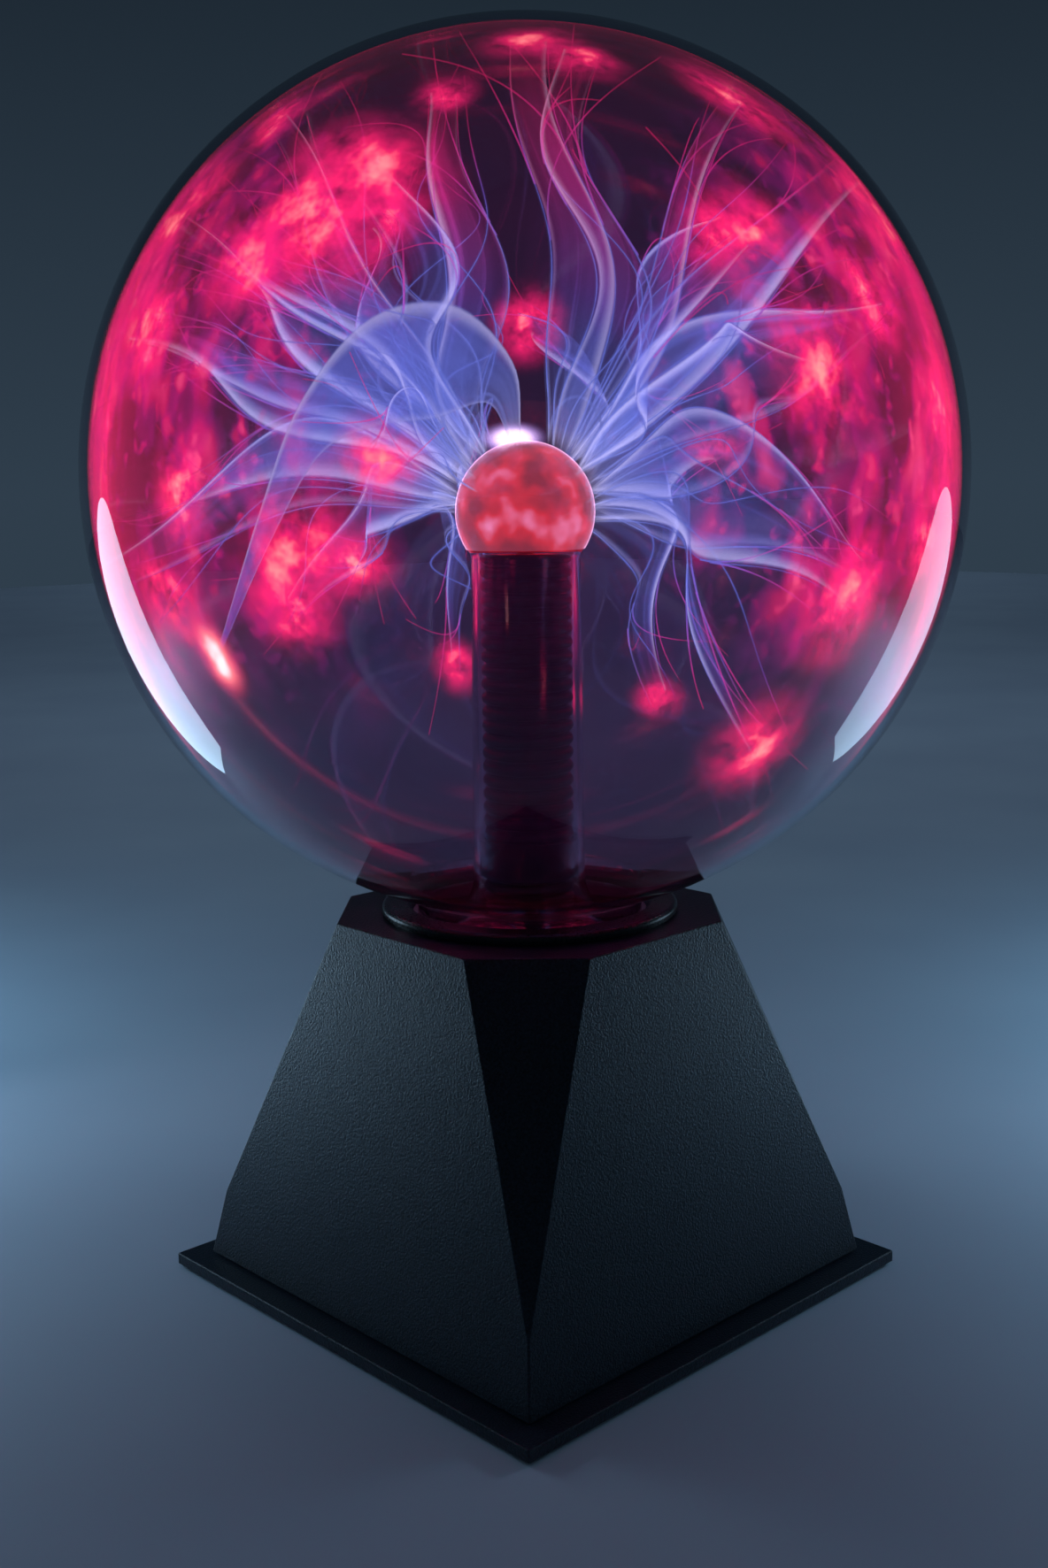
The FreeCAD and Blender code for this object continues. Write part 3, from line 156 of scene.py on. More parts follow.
world = bpy.data.worlds.new("dim_room")
scene.world = world
world.use_nodes = True
sky = world.node_tree
height = sky.nodes.new("ShaderNodeSeparateXYZ")
sky.links.new(sky.nodes.new("ShaderNodeTexCoord").outputs["Generated"], height.inputs[0])
dusk = sky.nodes.new("ShaderNodeValToRGB")
dusk.color_ramp.elements[0].color = (0.029, 0.048, 0.071, 1)
dusk.color_ramp.elements[1].position = 0.30
dusk.color_ramp.elements[1].color = (0.011, 0.019, 0.029, 1)
sky.links.new(height.outputs["Z"], dusk.inputs["Fac"])
sky.links.new(dusk.outputs["Color"], sky.nodes["Background"].inputs["Color"])

scene.view_settings.view_transform = "Standard"
scene.cycles.max_bounces = 24
scene.cycles.transmission_bounces = 20
scene.cycles.transparent_max_bounces = 48

# %% [markdown]
# Materials are built from nodes. These helpers keep each finish to a few readable lines: one makes a
# node and fills its inputs, one makes noise measured on the object itself, and one joins two colours.

# %% Node helpers
def new_material(name):
    """A material with its Principled shader and its node tree."""
    made = bpy.data.materials.new(name)
    made.use_nodes = True
    tree = made.node_tree
    return made, tree, tree.nodes["Principled BSDF"]


def node(tree, kind, **inputs):
    """Adds a node. A socket given as an input is linked, and any other value is set."""
    added = tree.nodes.new(kind)
    for name, value in inputs.items():
        fill(tree, added, name.replace("_", " "), value)
    return added


def fill(tree, target, name, value):
    socket = target.inputs[int(name[1:])] if name[0] == "n" and name[1:].isdigit() else target.inputs[name]
    if isinstance(value, bpy.types.NodeSocket):
        tree.links.new(value, socket)
    elif hasattr(socket.default_value, "__len__") and not hasattr(value, "__len__"):
        socket.default_value = [value] * len(socket.default_value)
    elif hasattr(value, "__len__") and len(value) == 3 and len(socket.default_value) == 4:
        socket.default_value = (*value, 1)
    else:
        socket.default_value = value


def place(tree):
    """Object coordinates, in metres."""
    return node(tree, "ShaderNodeTexCoord").outputs["Object"]


def noise(tree, where, scale, detail, rough=0.5):
    """Fractal noise, 0 to 1."""
    made = node(tree, "ShaderNodeTexNoise", Vector=where, Scale=scale, Detail=detail, Roughness=rough)
    return made.outputs["Fac"]


def math_node(tree, operation, a, b=0.0, clamp=False):
    made = node(tree, "ShaderNodeMath", n0=a, n1=b)
    made.operation = operation
    made.use_clamp = clamp
    return made.outputs[0]


def times(tree, a, b, clamp=False):
    return math_node(tree, "MULTIPLY", a, b, clamp)


def plus(tree, a, b):
    return math_node(tree, "ADD", a, b)


def stretch(tree, value, low, high, to_low=0.0, to_high=1.0, smooth=False):
    """Maps low..high to to_low..to_high, clamped."""
    made = tree.nodes.new("ShaderNodeMapRange")
    made.interpolation_type = "SMOOTHSTEP" if smooth else "LINEAR"
    tree.links.new(value, made.inputs["Value"])
    for name, number in zip(("From Min", "From Max", "To Min", "To Max"), (low, high, to_low, to_high)):
        made.inputs[name].default_value = number
    return made.outputs["Result"]


def ramp(tree, value, *stops):
    """A colour ramp through (position, colour) stops."""
    made = node(tree, "ShaderNodeValToRGB", Fac=value)
    elements = made.color_ramp.elements
    while len(elements) < len(stops):
        elements.new(0.5)
    for element, (position, colour) in zip(elements, stops):
        element.position = position
        element.color = (*colour, 1)
    return made.outputs["Color"]


def bump(tree, shader, height, distance):
    """Raises the surface by height times distance, in metres."""
    made = node(tree, "ShaderNodeBump", Height=height, Distance=distance)
    tree.links.new(made.outputs["Normal"], shader.inputs["Normal"])


def wear(node_name, finish):
    """Puts a finish on a part."""
    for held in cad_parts[node_name].material_slots:
        held.material = finish


print("node helpers ready")

# %% [markdown]
# The floor is one plain pale sheet, far larger than the view, so its edge never shows. A trace of
# cloudiness in its colour keeps it from looking like cut paper.

# %% Lay the floor
FLOOR_HALF = 3.0
bm = bmesh.new()
bmesh.ops.create_grid(bm, x_segments=8, y_segments=8, size=FLOOR_HALF)
floor_mesh = bpy.data.meshes.new("floor")
bm.to_mesh(floor_mesh)
bm.free()
floor = bpy.data.objects.new("floor", floor_mesh)
scene.collection.objects.link(floor)

floor_finish, tree, shader = new_material("pale_floor")
clouds = noise(tree, place(tree), 6.0, 3.0)
paleness = ramp(tree, clouds, (0.3, (0.46, 0.46, 0.52)), (0.7, (0.52, 0.52, 0.57)))
tree.links.new(paleness, shader.inputs["Base Color"])
shader.inputs["Roughness"].default_value = 0.62
floor_mesh.materials.append(floor_finish)
print("floor laid")

# %% [markdown]
# The globe is clear soda glass. A plain glass shader would stop the lamps at the wall and leave the inside
# black, so shadow rays get a Transparent shader instead. A faint unevenness in the surface is what
# blown glass has, and it keeps the long reflections from looking computed.

# %% Make the glass
def clear_glass(name, tint, ior, waviness, wave_scale):
    """Clear glass that lets lamps shine through it."""
    made, tree, shader = new_material(name)
    where = place(tree)
    shader.inputs["Transmission Weight"].default_value = 1.0
    shader.inputs["IOR"].default_value = ior
    smears = noise(tree, where, wave_scale * 3, 3.0)
    pale = [c * 0.985 for c in tint]
    tree.links.new(ramp(tree, smears, (0.35, tint), (0.75, pale)), shader.inputs["Base Color"])
    tree.links.new(stretch(tree, smears, 0.5, 0.8, 0.0, 0.02), shader.inputs["Roughness"])
    bump(tree, shader, noise(tree, where, wave_scale, 1.0), waviness)
    path = node(tree, "ShaderNodeLightPath")
    through = node(tree, "ShaderNodeBsdfTransparent", Color=tint)
    mix = node(tree, "ShaderNodeMixShader", Fac=path.outputs["Is Shadow Ray"])
    tree.links.new(shader.outputs[0], mix.inputs[1])
    tree.links.new(through.outputs[0], mix.inputs[2])
    tree.links.new(mix.outputs[0], tree.nodes["Material Output"].inputs["Surface"])
    return made


globe_finish = clear_glass("globe_glass", (0.57, 0.47, 0.60), 1.46, 0.10 * MM, 14.0)
stem_finish = clear_glass("stem_glass", (0.99, 0.995, 1.0), 1.50, 0.04 * MM, 60.0)
wear("globe_glass", globe_finish)
wear("stem_glass", stem_finish)
wear("exhaust_tip", stem_finish)
print("glass made")

# %% [markdown]
# A glow is modelled as thin see-through surfaces that give off light. Principled does both: Alpha sets how
# much of the surface is there, and Emission sets how bright that part is. The colour follows the
# distance from the electrode, as it does in the real gas: nearly white where the strands start, blue along
# their length, and pink where they spread out on the cold glass.

# %% Glow helpers
GAS_END = (WALL_R - 2 * MM)
ROOT_WHITE = (0.75, 0.82, 1.0)
STRAND_BLUE = (0.17, 0.28, 0.90)
STRAND_VIOLET = (0.32, 0.17, 0.85)
FOOT_PINK = (1.0, 0.03, 0.18)


def reach(tree):
    """How far a point lies between the electrode and the globe: 0 at the electrode, 1 at the globe."""
    offset = node(tree, "ShaderNodeVectorMath", n0=place(tree), n1=tuple(BALL_CENTRE))
    offset.operation = "DISTANCE"
    return stretch(tree, offset.outputs["Value"], BALL_R, GAS_END)


def gas_colour(tree, share, pink_from):
    """Colour along a strand. It turns violet at pink_from and is pink at its foot."""
    rest = 1 - pink_from
    return ramp(
        tree, share,
        (0.0, ROOT_WHITE), (0.08, (0.30, 0.42, 1.0)), (0.25, STRAND_BLUE),
        (pink_from - 0.1, (0.19, 0.25, 0.90)), (pink_from, STRAND_VIOLET),
        (pink_from + rest * 0.5, (0.90, 0.06, 0.42)), (1.0, FOOT_PINK),
    )


def glow(name, strength, colour=None):
    """A material that only glows. Returns it with its tree and shader; Alpha is linked by the caller."""
    made, tree, shader = new_material(name)
    shader.inputs["Base Color"].default_value = (0, 0, 0, 1)
    shader.inputs["Roughness"].default_value = 1.0
    shader.inputs["Specular IOR Level"].default_value = 0.0
    shader.inputs["Emission Strength"].default_value = strength
    if colour:
        shader.inputs["Emission Color"].default_value = (*colour, 1)
    made.cycles.emission_sampling = "NONE"
    return made, tree, shader


def add_piece(name, bm, finish, body="base"):
    """Makes an object from a bmesh, smooth shaded, riding on a body."""
    mesh = bpy.data.meshes.new(name)
    bm.to_mesh(mesh)
    bm.free()
    for face in mesh.polygons:
        face.use_smooth = True
    mesh.materials.append(finish)
    made = bpy.data.objects.new(name, mesh)
    scene.collection.objects.link(made)
    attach(made, body)
    print(name, len(mesh.polygons), "faces")
    return made


def heading(azimuth, elevation):
    """A unit direction from degrees round the upright axis, from +X towards +Y, and degrees above level."""
    a, e = math.radians(azimuth), math.radians(elevation)
    return Vector((math.cos(a) * math.cos(e), math.sin(a) * math.cos(e), math.sin(e)))


def on_wall(direction, inset=0.4 * MM):
    """Where a line from the electrode in this direction meets the inside of the globe."""
    radius = WALL_R - inset
    offset = BALL_CENTRE - GLOBE_CENTRE
    along = offset.dot(direction)
    return BALL_CENTRE + direction * (-along + math.sqrt(along ** 2 - offset.length_squared + radius ** 2))


SIDE_AXIS = heading(math.degrees(CAMERA_HEADING) + 90, 0)
print("glow helpers ready")

# %% [markdown]
# A strand leaves the electrode square to its surface, is lifted by its own heat, and meets the globe
# almost square to the glass. A cubic curve with two handles says exactly that: one handle points out of
# the electrode and the other into the wall. A sideways wave on top makes each strand wander.

# %% Strand path
def root_from(way):
    """Where a strand leaves the electrode: towards its foot, but high and out at the ball's rim."""
    aside = 1 if way.dot(SIDE_AXIS) > 0 else -1
    return (way + UP * 0.45 + SIDE_AXIS * aside * 0.7).normalized()


def strand_path(foot_way, lift, sway, phase, turns, start_way=None):
    """Returns a function of 0..1 that runs along one strand."""
    root_way = start_way or root_from(foot_way)
    root = BALL_CENTRE + root_way * (BALL_R + 0.1 * MM)
    foot = on_wall(foot_way)
    into_wall = (foot - GLOBE_CENTRE).normalized()
    span = (foot - root).length
    handle_a = root + root_way * span * 0.38 + UP * lift * 0.5
    handle_b = foot - into_wall * span * 0.42 + UP * lift
    side = foot_way.cross(UP)
    side = side.normalized() if side.length > 0.05 else Vector((1, 0, 0))
    across = side.cross(foot_way).normalized()

    def at(t):
        s = 1 - t
        point = root * s ** 3 + handle_a * 3 * s * s * t + handle_b * 3 * s * t * t + foot * t ** 3
        swell = math.sin(math.pi * t) * sway
        wave = math.sin(2 * math.pi * turns * t + phase)
        roll = math.cos(2 * math.pi * turns * t * 0.7 + phase * 1.7)
        return point + side * swell * wave + across * swell * roll * 0.6
    return at


print("strand path ready")

# %% [markdown]
# A strand seen for a moment is a thread, but it drifts, and the eye keeps its trail. The trail is a ribbon:
# a grid whose two long edges follow two strand paths. Its UV map runs along and across it, so the
# material can brighten both edges and draw fine threads along it. Each ribbon sits one step
# higher on the map than the last, which gives each its own threads.

# %% Ribbon builder
RIBBON_LENGTH_CUTS, RIBBON_WIDTH_CUTS = 40, 8


def add_ribbon(bm, number, edge_a, edge_b, belly=0.0):
    """Adds a grid between two paths. belly bulges its middle upwards."""
    made = bmesh.ops.create_grid(
        bm, x_segments=RIBBON_LENGTH_CUTS, y_segments=RIBBON_WIDTH_CUTS, size=0.5, calc_uvs=False
    )
    uv = bm.loops.layers.uv.verify()
    shares = {}
    for vert in made["verts"]:
        shares[vert] = (vert.co.x + 0.5, vert.co.y + 0.5)
    for vert, (along, across) in shares.items():
        a, b = edge_a(along), edge_b(along)
        rise = math.sin(math.pi * across) * math.sin(math.pi * along) * belly
        vert.co = a.lerp(b, across) + UP * rise
    for face in {f for v in made["verts"] for f in v.link_faces}:
        for loop in face.loops:
            along, across = shares[loop.vert]
            loop[uv].uv = (along, number + 0.01 + 0.98 * across)


def ribbon_finish(name, strength, veil, rim, threads, even=0.0, pink_from=0.80, fade_to=0.30):
    """Gas drawn out into silk: bright rims, a sheet that thins towards one edge, and fine threads."""
    made, tree, shader = glow(name, strength)
    share = reach(tree)
    uv = node(tree, "ShaderNodeSeparateXYZ", Vector=node(tree, "ShaderNodeTexCoord").outputs["UV"])
    along, stacked = uv.outputs["X"], uv.outputs["Y"]
    across = math_node(tree, "FRACT", stacked)
    first = times(tree, stretch(tree, across, 0.01, 0.05, smooth=True),
                      stretch(tree, across, 0.20, 0.05, smooth=True))
    second = times(tree, stretch(tree, across, 0.90, 0.965, smooth=True),
                       stretch(tree, across, 0.99, 0.965, smooth=True))
    rims = plus(tree, first, times(tree, second, 0.55))
    whiter = tree.nodes.new("ShaderNodeMixRGB")
    tree.links.new(times(tree, rims, 0.55), whiter.inputs["Fac"])
    tree.links.new(gas_colour(tree, share, pink_from), whiter.inputs["Color1"])
    whiter.inputs["Color2"].default_value = (*ROOT_WHITE, 1)
    tree.links.new(whiter.outputs["Color"], shader.inputs["Emission Color"])
    sheet = stretch(tree, across, 0.05, 0.97, 1.0, even)
    sheet = times(tree, sheet, stretch(tree, across, 0.01, 0.06, smooth=True))
    sheet = times(tree, sheet, stretch(tree, across, 0.99, 0.95, smooth=True))
    lines = node(tree, "ShaderNodeCombineXYZ", X=times(tree, along, 0.5),
                 Y=times(tree, stacked, 6.0))
    streak = stretch(tree, noise(tree, lines.outputs[0], 1.0, 2.0, 0.5), 0.52, 0.75)
    clouds = stretch(tree, noise(tree, lines.outputs[0], 0.5, 1.0), 0.25, 0.75, 0.45, 1.0)
    total = times(tree, times(tree, sheet, clouds), veil)
    total = plus(tree, total, times(tree, rims, rim))
    streak = times(tree, times(tree, streak, sheet), threads)
    total = plus(tree, total, streak)
    ends = stretch(tree, along, 1.0, 0.75, fade_to, 1.0, smooth=True)
    total = times(tree, total, stretch(tree, share, 0.0, 0.07, smooth=True))
    tree.links.new(times(tree, total, ends, clamp=True), shader.inputs["Alpha"])
    return made


petal_finish = ribbon_finish("petal_gas", 2.1, 0.24, 0.36, 0.26)
pink_finish = ribbon_finish("pink_gas", 1.9, 0.24, 0.22, 0.30, 0.3, 0.45)
print("ribbon builder ready")

# %% [markdown]
# The main strands are a list: the direction of the foot on the globe, how wide the petal swells between root
# and foot, how high it is lifted, and how much it wanders. About two thirds of the directions were worked
# out by a separate script, then rounded or nudged. The other directions and all the shape numbers are
# listed. Strands all round keep the globe full from every side.

# %% Choose the strands
def strand(azimuth, elevation, width, lift, sway, twist):
    """One petal: where its foot is, in degrees, and its shape, in millimetres."""
    return dict(way=heading(azimuth, elevation), azimuth=azimuth, elevation=elevation,
                width=width * MM, lift=lift * MM, sway=sway * MM, twist=twist)


STRANDS = [
    strand(-169, 28, 9, 10, 6, 0.4), strand(172, 22, 7, 8, 9, -0.6), strand(171, 36, 9, 8, 6, 1.2),
    strand(-155, 38, 7, 10, 8, -0.9), strand(104, 37, 12, 9, 6, 0.8), strand(78, 47, 14, 8, 9, 0.3),
    strand(-149, 6, 8, 10, 3, 0.5), strand(77, -9, 11, 12, 5, 0.2), strand(90, -16, 9, 14, 5, -0.3),
    strand(124, 25, 8, 8, 9, 0.9), strand(111, 3, 10, 10, 5, 0.1), strand(81, 72, 8, 4, 9, 1.4),
    strand(-132, 60, 6, 3, 4, 1.5), strand(-122, 57, 5, 3, 8, 1.2), strand(2, 44, 28, 7, 8, 0.5),
    strand(-106, 30, 15, 7, 9, -0.4), strand(-62, 44, 10, 6, 5, 0.3), strand(13, 9, 24, 9, 5, -0.2),
    strand(-94, -9, 16, 12, 7, 0.3), strand(-20, -10, 30, 11, 8, -0.4), strand(-102, -28, 7, 18, 4, 0.2),
    strand(18, -34, 12, 16, 5, 0.5), strand(-99, 14, 20, 8, 9, 0.1), strand(-30, 27, 26, 8, 8, 0.6),
    strand(45, 30, 15, 8, 6, -0.5), strand(50, 2, 14, 10, 5, 0.4),
    strand(148, -8, 12, 12, 8, 0.2), strand(-45, 62, 9, 5, 5, 1.0), strand(140, 58, 8, 5, 9, 0.7),
    strand(60, -28, 9, 14, 5, -0.3),
]
print(len(STRANDS), "main strands")

# %% [markdown]
# A petal's two edges leave the electrode side by side, swing apart, and close again at the foot. The swing is
# square to the strand and turned by its twist, so some petals face the eye and some show their edge.

# %% Weave the ribbons
FOOT_SPREAD, ROOT_SPREAD = 0.035, 0.14
BELLY = 4 * MM


def petal_edges(petal, phase):
    """The two long edges of a petal, as functions of 0..1."""
    way = petal["way"]
    side = way.cross(UP)
    side = (side if side.length > 0.05 else Vector((1, 0, 0))).normalized()
    swing = Quaternion(way, petal["twist"]) @ side.cross(way).normalized()
    found = []
    for sign in (-1, 1):
        foot_way = (way + swing * sign * FOOT_SPREAD).normalized()
        start_way = (root_from(way) + swing * sign * ROOT_SPREAD).normalized()
        base_path = strand_path(foot_way, petal["lift"], petal["sway"], phase, 1.0, start_way)

        def path(t, base_path=base_path, sign=sign):
            swell = math.sin(math.pi * t ** 0.85) ** 1.3 * petal["width"] / 2
            return base_path(t) + swing * sign * swell
        found.append(path)
    return found


random.seed(7)
STEEP = 50
blue, pink = bmesh.new(), bmesh.new()
edges = []
for number, petal in enumerate(STRANDS):
    pair = petal_edges(petal, random.uniform(0, 2 * math.pi))
    edges.append(pair)
    pair = pair if random.random() < 0.5 else pair[::-1]
    add_ribbon(pink if petal["elevation"] > STEEP else blue, number, *pair, belly=BELLY)
add_piece("gas_ribbons", blue, petal_finish)
add_piece("pink_ribbons", pink, pink_finish)

# %% [markdown]
# One strand has swept a broad veil: it climbs off the top of the electrode, arches over to the left, and
# drops to a hotter foot low on the glass. It lies in one upright plane, so its two edges are short lists of
# distance out and height, joined by a smooth curve.

# %% Broad veil
def smooth_line(points):
    """A function of 0..1 along a Catmull-Rom curve through the points."""
    ends = [points[0] * 2 - points[1], *points, points[-1] * 2 - points[-2]]
    spans = len(points) - 1

    def at(t):
        i = min(int(t * spans), spans - 1)
        u = t * spans - i
        a, b, c, d = ends[i:i + 4]
        bend = 2 * a - 5 * b + 4 * c - d
        twist = 3 * b - a - 3 * c + d
        return 0.5 * (2 * b + (c - a) * u + bend * u ** 2 + twist * u ** 3)
    return at


def veil_edge(azimuth, outline, bow):
    """An edge in the upright plane at an azimuth, bowed sideways in its middle."""
    out, side = heading(azimuth, 0), heading(azimuth + 90, 0)
    last = len(outline) - 1
    return smooth_line([
        BALL_CENTRE + (out * far + UP * up + side * bow * math.sin(math.pi * i / last)) * MM
        for i, (far, up) in enumerate(outline)])


VEIL_AZIMUTH = -174
VEIL_TOP = [(1, 17), (8, 33), (30, 44), (56, 40), (75, 23), (84, 2), (92, -24)]
VEIL_FOOT = [(5, 16), (14, 24), (32, 20), (50, 18), (66, 12), (80, -6), (91.5, -25)]
bm = bmesh.new()
add_ribbon(bm, 0, veil_edge(VEIL_AZIMUTH, VEIL_TOP, 8), veil_edge(VEIL_AZIMUTH, VEIL_FOOT, 2))
add_piece("broad_veil", bm, ribbon_finish("veil_gas", 1.20, 0.66, 0.40, 0.0, 0.8, 0.97, 1.0))

# %% [markdown]
# The threads themselves are fine tubes. Two tubes share each path: a hair-thin bright core, and a wider,
# faint one round it that softens its edge from every side. Curves do this well, because one path
# with a bevel is a tube, and each point's radius tapers it.

# %% Thread builder
THREAD_POINTS = 14


def thread_curve(name, paths, core_radius, finish, taper):
    """One curve object with a tapered tube along each path."""
    data = bpy.data.curves.new(name, "CURVE")
    data.dimensions = "3D"
    data.bevel_depth = core_radius
    data.bevel_resolution = 1
    data.resolution_u = 4
    for path in paths:
        line = data.splines.new("NURBS")
        line.points.add(THREAD_POINTS - 1)
        for i, point in enumerate(line.points):
            t = i / (THREAD_POINTS - 1)
            point.co = (*path(t), 1)
            point.radius = taper(t)
        line.order_u = 4
        line.use_endpoint_u = True
    data.materials.append(finish)
    made = bpy.data.objects.new(name, data)
    scene.collection.objects.link(made)
    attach(made, "base")
    print(name, len(data.splines), "threads")
    return made


def thread_finish(name, strength, alpha, pink_from=0.80):
    made, tree, shader = glow(name, strength)
    share = reach(tree)
    tree.links.new(gas_colour(tree, share, pink_from), shader.inputs["Emission Color"])
    beads = stretch(tree, noise(tree, place(tree), 90.0, 2.0), 0.35, 0.65, 0.45, 1.0)
    fade = times(tree, stretch(tree, share, 1.0, 0.0, alpha * 0.35, alpha),
                     stretch(tree, share, 0.0, 0.09, smooth=True))
    tree.links.new(times(tree, beads, fade), shader.inputs["Alpha"])
    return made


# %% [markdown]
# Every petal gets three threads: one along each edge, and a loose one that starts near it and wanders off.
# They make the petals look drawn out of lines. Two small loops of the same gas stand at the electrode.

# %% Draw the threads
CORE_THREAD, HALO_THREAD, LOOP_THREAD = 0.16 * MM, 0.55 * MM, 0.35 * MM


def slim(t):
    """A thread gets thinner towards its foot."""
    return 1.15 - 0.7 * t


random.seed(21)
threads = []
for petal, (left, right) in zip(STRANDS, edges):
    threads += [left, right]
    way = heading(petal["azimuth"] + random.uniform(-12, 12), petal["elevation"] + random.uniform(-10, 10))
    threads.append(strand_path(way, petal["lift"] * random.uniform(0.3, 1.6), petal["sway"] * 1.5,
                               random.uniform(0, 2 * math.pi), random.uniform(0.8, 1.5)))


def loop_path(aside, up, half_width, half_height, lean):
    """A small closed loop of gas that stands beside the electrode."""
    across = heading(math.degrees(CAMERA_HEADING) - 90 + lean, 0)
    middle = BALL_CENTRE + (across * aside + UP * up) * MM
    return lambda t: middle + (across * math.cos(2 * math.pi * t) * half_width
                               + UP * math.sin(2 * math.pi * t) * half_height) * MM


loops = [loop_path(-9, 17, 5, 10, 20), loop_path(13, 16, 7, 10, -25)]
thread_curve("gas_loops", loops, LOOP_THREAD, thread_finish("loop_gas", 0.9, 0.55, 0.05), lambda t: 1.0)
thread_curve("thread_cores", threads, CORE_THREAD, thread_finish("thread_core", 1.3, 0.75), slim)
thread_curve("thread_halos", threads, HALO_THREAD, thread_finish("thread_halo", 0.8, 0.14), slim)

# %% [markdown]
# Near the glass each strand splits into a spray of fine branches, because the charge spreads out over the
# wall. A branch leaves its strand along the strand's own direction, so it needs only one handle.

# %% Spray of branches
BRANCHES = 4
BRANCH_THREAD = 0.22 * MM
BRANCH_STRAY = 0.24


def branch_path(strand_edge, leaves_at, foot_way):
    """A branch that leaves a strand part of the way along it and bends to its own foot."""
    start = strand_edge(leaves_at)
    foot = on_wall(foot_way)
    ahead = (strand_edge(leaves_at + 0.06) - start).normalized()
    handle = start + ahead * (foot - start).length * 0.55
    return lambda t: start * (1 - t) ** 2 + handle * 2 * t * (1 - t) + foot * t * t


random.seed(33)
sprays = []
for petal, pair in zip(STRANDS, edges):
    for number in range(BRANCHES):
        stray = Vector([random.uniform(-BRANCH_STRAY, BRANCH_STRAY) for _ in range(3)])
        leaves_at = random.uniform(0.50, 0.82)
        sprays.append(branch_path(pair[number % 2], leaves_at, (petal["way"] + stray).normalized()))
branch_finish = thread_finish("branch_gas", 1.5, 0.62, 0.60)
thread_curve("gas_branches", sprays, BRANCH_THREAD, branch_finish, lambda t: 1.0 - 0.5 * t)

# %% [markdown]
# Where a strand reaches the glass the glow spreads into a soft pink patch. Each patch is a small grid laid
# on the inside of the globe. Its UV map fades it from a bright middle to nothing at its edge, and noise
# breaks it up. Extra patches fill bare glass between the strands, and some of their directions started
# from the same separate script, as did the foot of the veil. That foot is a hotter patch, and the veil's
# root is a white star on top of the electrode.

# %% Foot patches
PATCH_CUTS = 12


def add_patch(bm, centre, width, height, turn, middle=GLOBE_CENTRE):
    """Adds a grid round a point, bent to the sphere that passes through it with this middle."""
    out = (centre - middle).normalized()
    radius = (centre - middle).length
    level = out.cross(UP).normalized() if abs(out.z) < 0.98 else Vector((1, 0, 0))
    steep = level.cross(out)
    swing = Quaternion(out, turn)
    level, steep = swing @ level, swing @ steep
    made = bmesh.ops.create_grid(bm, x_segments=PATCH_CUTS, y_segments=PATCH_CUTS, size=0.5)
    uv = bm.loops.layers.uv.verify()
    shares = {vert: (vert.co.x, vert.co.y) for vert in made["verts"]}
    for vert, (x, y) in shares.items():
        flat = centre + level * x * width + steep * y * height - middle
        vert.co = middle + flat.normalized() * radius
    for face in {f for v in made["verts"] for f in v.link_faces}:
        for loop in face.loops:
            x, y = shares[loop.vert]
            loop[uv].uv = (x + 0.5, y + 0.5)


def patch_finish(name, strength, colours, peak, grain, least=0.15):
    made, tree, shader = glow(name, strength)
    uv = node(tree, "ShaderNodeTexCoord").outputs["UV"]
    away = node(tree, "ShaderNodeVectorMath", n0=uv, n1=(0.5, 0.5, 0.0))
    away.operation = "DISTANCE"
    fall = stretch(tree, away.outputs["Value"], 0.48, 0.0, smooth=True)
    cloud = noise(tree, place(tree), grain, 3.0, 0.6)
    torn = stretch(tree, cloud, 0.35, 0.70, least, 1.0)
    dense = times(tree, math_node(tree, "POWER", fall, 1.8), torn)
    tree.links.new(ramp(tree, dense, *colours), shader.inputs["Emission Color"])
    tree.links.new(times(tree, dense, peak, clamp=True), shader.inputs["Alpha"])
    return made


foot_colours = ((0.0, (0.80, 0.01, 0.16)), (0.45, (1.0, 0.02, 0.14)), (0.90, (1.0, 0.27, 0.22)))
foot_finish = patch_finish("foot_glow", 2.9, foot_colours, 1.25, 120.0)

EXTRA_FEET = [(-160, 33, 48), (150, 18, 50), (-17, -16, 56), (-40, -4, 50), (-28, 30, 52), (120, -12, 42),
              (-45, 12, 64), (-75, 36, 48), (-160, -4, 40)]

random.seed(5)
bm = bmesh.new()
feet = [(petal["way"], random.uniform(24, 44)) for petal in STRANDS]
feet += [(heading(azimuth, elevation), size) for azimuth, elevation, size in EXTRA_FEET]
for way, size in feet:
    spot = on_wall(way, random.uniform(0.4, 1.4) * MM)
    stretched = random.uniform(0.7, 1.5)
    add_patch(bm, spot, size * MM, size * MM * stretched, random.uniform(0, math.pi))
add_piece("foot_patches", bm, foot_finish)

bm = bmesh.new()
foot_out, foot_up = VEIL_FOOT[-1]
veil_foot = on_wall((heading(VEIL_AZIMUTH, 0) * foot_out + UP * foot_up).normalized(), 0.3 * MM)
add_patch(bm, veil_foot, 17 * MM, 26 * MM, 0.5)
hot_colours = ((0.0, (1.0, 0.03, 0.14)), (0.35, (1.0, 0.22, 0.20)), (0.75, (1.0, 0.85, 0.70)))
add_piece("hot_spots", bm, patch_finish("hot_spot", 3.5, hot_colours, 1.8, 60.0))

bm = bmesh.new()
root = BALL_CENTRE + (UP + SIDE_AXIS * 0.16).normalized() * (BALL_R + 0.8 * MM)
for facing in (heading(46, 12), heading(-44, 12), UP):
    add_patch(bm, root, 20 * MM, 10 * MM, 0.0, root - facing)
star_colours = ((0.0, (0.55, 0.40, 1.0)), (0.4, (0.90, 0.75, 1.0)), (0.8, (1.0, 0.97, 1.0)))
add_piece("root_star", bm, patch_finish("root_star", 3.0, star_colours, 2.2, 60.0, 0.9))

